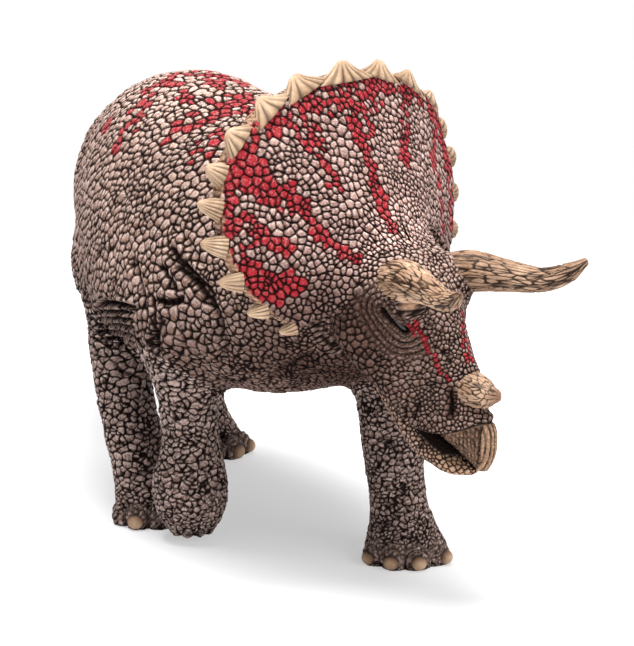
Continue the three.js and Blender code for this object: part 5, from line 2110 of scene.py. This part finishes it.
BROW_HORN = [
    [0, 0, 0, 0, 0.88], [0.22, 0.25, 0.1, 0.09, 0.82], [0.45, 0.5, 0.2, 0.08, 0.64],
    [0.7, 0.75, 0.32, 0.065, 0.48], [0.88, 0.91, 0.41, 0.125, 0.38], [1, 1, 0.475, 0.2, 0.17],
]
NEAR_BROW_HORN = [
    [0, 0, 0, 0, 1], [0.22, 0.25, 0.1, 0.08, 0.84], [0.45, 0.5, 0.2, 0.075, 0.6],
    [0.7, 0.75, 0.32, 0.065, 0.43], [0.88, 0.91, 0.41, 0.105, 0.32], [1, 1, 0.475, 0.16, 0.16],
]
NOSE_HORN = [
    [0, 0, 0, 0, 0.95], [0.38, 0.38, 0, -0.05, 0.88], [0.76, 0.77, 0, -0.1, 0.7],
    [1, 1, 0, -0.09, 0.38],
]


def lump_skin(lump: Lump, rows: int = 12, columns: int = 18) -> tuple[Array, dict[str, Array]]:
    """A small smooth lump as a grid with its marks."""
    fall = np.linspace(0.06, np.pi - 0.06, rows)[::-1]
    grid = lump.surface(*np.broadcast_arrays(fall[:, None], full_turn(columns)))
    around = np.broadcast_to(fall[:, None], grid.shape[:2])
    return grid, {"groove": 0.9 * ease(1.25, 1.6, around), "shade": 0.7 * ease(0.45, 1.3, around)}


KNEE_FOLDS = [
    [(45, -27, 46), (59.5, -31.1, 50.8), (73, -31.7, 53.7), (81.9, -30.7, 54.7)],
    [(41.4, -26.2, 43.2), (57.4, -29.2, 47), (71.6, -31.2, 50.3), (80.5, -30.5, 52)],
    [(41.9, -26.4, 40.2), (50, -26, 42.3), (66.5, -29.3, 46.2), (79, -29.5, 48.2)],
    [(42, -26.8, 37.2), (50.9, -23.4, 39), (62, -27, 42), (72, -28, 44)],
]


BODY_FOLDS = [
    ([(44, -26, 43), (55, -30, 49.5), (61, -31, 51.5), (69, -31.6, 53), (78, -31, 53.5)], 0.8, 0.9),
    ([(74.6, -30, 65.5), (78.7, -30.5, 62), (82, -30.3, 58), (84.6, -29.8, 54), (83.4, -29, 49)],
     0.7, 1.0),
    ([(87, -29, 57.5), (89.5, -28, 57.3), (92, -27, 58), (94.2, -26, 59.4)], 1.2, 0.9),
    ([(85.6, -26.3, 69.4), (90.6, -25.7, 66.6), (95.1, -24.5, 64.4), (99, -23.1, 62.2),
      (102, -21.4, 59.4)], 1.0, 0.9),
    ([(88.8, -26.8, 65.5), (93.3, -25.5, 64.2), (96.9, -24.2, 62.3), (100.1, -22.7, 59.5),
      (102.3, -21, 56)], 0.9, 0.9),
    ([(85.4, -28, 64.9), (90.2, -27.3, 62), (92.6, -26.6, 59.7)], 0.8, 0.8),
    ([(90.1, -27.9, 54.5), (86.8, -28.3, 50.2), (83.5, -27.7, 45.4)], 0.9, 1.0),
    ([(98.9, -23.3, 60.9), (101.9, -21.3, 56), (101.3, -19.8, 50.1), (96.5, -18.1, 44)], 0.7, 1.0),
    ([(96.3, -9.6, 38.7), (105.1, -9.5, 44.2), (111.1, -7.7, 47.9), (115.8, -5.1, 50.4)], 0.7, 0.9),
    ([(96, -4.2, 37.1), (106.1, -4.3, 42.6), (112.1, -2.6, 45.9)], 0.6, 0.8),
    ([(61, -25, 77.5), (65.6, -28, 72), (71.6, -29.6, 67), (78, -30.6, 62)], 0.35, 1.0),
    ([(58.7, -27.6, 73), (62.3, -29.8, 67.3), (67.6, -31.3, 61.6), (72, -31.6, 57.5)], 0.3, 0.9),
    ([(85, -24, 73.7), (89.7, -24, 70.8), (94.8, -23.5, 67.8), (99, -22.5, 64.7)], 0.5, 0.8),
    ([(87.3, -28.4, 62.4), (89.5, -26.6, 65.2), (92.5, -25, 66), (95.7, -24, 65.3)], 0.4, 0.7),
    ([(84.7, -29.6, 58.6), (87, -29.2, 55), (85.8, -28.4, 49.6), (83.5, -27, 43.6)], 1.0, 0.9),
]


def body_creases() -> list[Crease]:
    """The folds at the right shoulder, flank, knee and neck, and the same on the left."""
    knee = np.column_stack([np.arange(4), np.array(KNEE_FOLDS).reshape(4, -1)])
    between = [(curve(knee, at).reshape(-1, 3), 1.05, 0.5) for at in np.linspace(0, 3, 7)]
    made = []
    for corners, depth, width in BODY_FOLDS + between:
        for side in (1, -1):
            made.append(Crease(np.array(corners, float) * [1, side, 1], depth, width))
    return made


SIDES = {"right": -1, "left": 1}


def snout_beads(skull: Skull) -> Array:
    """The places of the snout's single beads: two rows down each ridge and down the crest."""
    at = np.linspace(0, 4, 15)
    ridge = curve(np.column_stack([np.arange(5), SNOUT_RIDGE]), at)
    apart = 0.55 * ease(2.4, 0.8, at)[:, None] * [0.6, 0.3, 0.5]
    crest = curve(np.column_stack([np.arange(4), SNOUT_CREST]), np.linspace(0, 3, 9))
    rows = [crest + [0, aside, 0] for aside in (-0.3, 0.9)]
    for side in SIDES.values():
        rows += [(ridge + apart) * [1, side, 1], (ridge - apart)[:9] * [1, side, 1]]
    skin = skull.grid.reshape(-1, 3)
    nearest = np.linalg.norm(skin[:, None] - HEAD.point(np.concatenate(rows)), axis=2).argmin(0)
    return skin[np.unique(nearest)]


def build_horns(shop: Workshop, finish: bpy.types.Material) -> None:
    """Builds the two brow horns and the nose horn."""
    # The far brow horn and the nose horn carry a floor of painted shade.
    rows = (("right", -0.035, 4.9, 0.0, NEAR_BROW_HORN), ("left", -0.065, 5.2, 0.3, BROW_HORN))
    for side, height, radius, darkening, shares in rows:
        name, left = f"brow_horn_{side}", SIDES[side]
        root = (-0.12, left * 0.47, height)
        horn = Horn(name + "_bone", name, left, 28.0, radius, root, shares, fibre=7.5, darkening=darkening)
        horn.build(shop, finish)
    root = (0.15, 0, -0.452)
    horn = Horn("nose_horn_bone", "nose_horn", 1, 10.2, 4.4, root, NOSE_HORN, fibre=4.0, darkening=0.3)
    horn.build(shop, finish)


def build_eyes(shop: Workshop, finish: bpy.types.Material) -> None:
    """Builds a long bead in the slit of each eye."""
    for side, left in SIDES.items():
        slit = HEAD.point(EYE_SLIT[1:] * [1, left, 1])
        out = HEAD.point(np.array([0.45, 0.85 * left, -0.1])) - HEAD.origin
        place = Place.at(slit.mean(0) - 0.25 * out, slit[-1] - slit[0], out)
        bead = Lump(place.origin, place.basis, np.array([2.3, 0.75, 0.75]))
        shop.piece(f"eye_{side}", [lump_skin(bead, 14, 20)], finish, ("head",), Slot.HIDE)


def main() -> None:
    """Builds the figure's pieces in order, reports each, and sets the studio round them."""
    logging.basicConfig(level=logging.INFO, format="%(name)s: %(message)s")
    bpy.context.scene.view_settings.view_transform = "Standard"
    shop = Workshop.from_frame()
    body = Body("body", (), Slot.HIDE, creases=body_creases())
    legs = figure_legs()
    tail = Tail("tail_skin", ("tail",), Slot.HIDE)
    skull = Skull("head_skin", ("head",), Slot.HIDE)
    frill = Frill("frill_skin", ("frill",), Slot.FRILL_HIDE)
    jaw = Jaw("lower_jaw_skin", ("lower_jaw",), Slot.HIDE)
    trunk = body.core()
    for leg in legs:
        leg.join([(trunk, LEG_FILLET)])
        leg.creases = body.creases
    tail.join([(trunk, TAIL_FILLET)])
    ends = [(tail.core(), TAIL_FILLET), (skull.core(), NECK_FILLET)]
    body.join([(leg.core(), LEG_FILLET) for leg in legs] + ends)
    skull.join([(trunk, NECK_FILLET), (frill.core(), FRILL_FILLET)])
    frill.join([(skull.core(), FRILL_FILLET)])
    jaw.join([(skull.core(), JAW_FILLET)])
    skins = [body, *legs, tail, skull, frill, jaw]
    beads = snout_beads(skull)
    hide = Hide()
    hide.sow([skin.patch() for skin in skins], beads, 1.0)
    hide.colour(np.maximum(frill.red(hide.places), back_red(hide.places)), len(beads))
    leg_tones = {"deep": "4c3932", "middle": "7e6258", "pale": "c4a69a", "face": 0.5}
    frill_tones = {"deep": "6e4a41", "middle": "a67b70", "pale": "e2bcb0", "face": 0.4}
    spike_tones = {"deep": "96765a", "middle": "b4967a", "pale": "d6b99b"}
    finishes = {
        Slot.HIDE: PaintedHide("dry-brushed PVC hide").material(),
        Slot.LEG_HIDE: PaintedHide("dry-brushed PVC leg hide", **leg_tones).material(),
        Slot.FRILL_HIDE: PaintedHide("dry-brushed PVC frill hide", **frill_tones).material(),
    }
    bone = PaintedBone("painted PVC horn").material()
    cream = PaintedBone("painted PVC spikes", **spike_tones).material()
    for skin in skins:
        skin.build(shop, hide, finishes[skin.slot])
    for leg in legs:
        if leg.nailed:
            name = leg.name.replace("_skin", "_nails")
            shop.piece(name, [lump_skin(nail) for nail in leg.nails()], cream, leg.nodes, Slot.BONE)
    shop.piece("frill_spikes", frill.spikes(), cream, ("frill",), Slot.BONE)
    build_horns(shop, bone)
    build_eyes(shop, GlossEye().material())
    studio = Studio()
    studio.camera()
    studio.light()
    studio.floor()


if __name__ == "__main__":
    main()
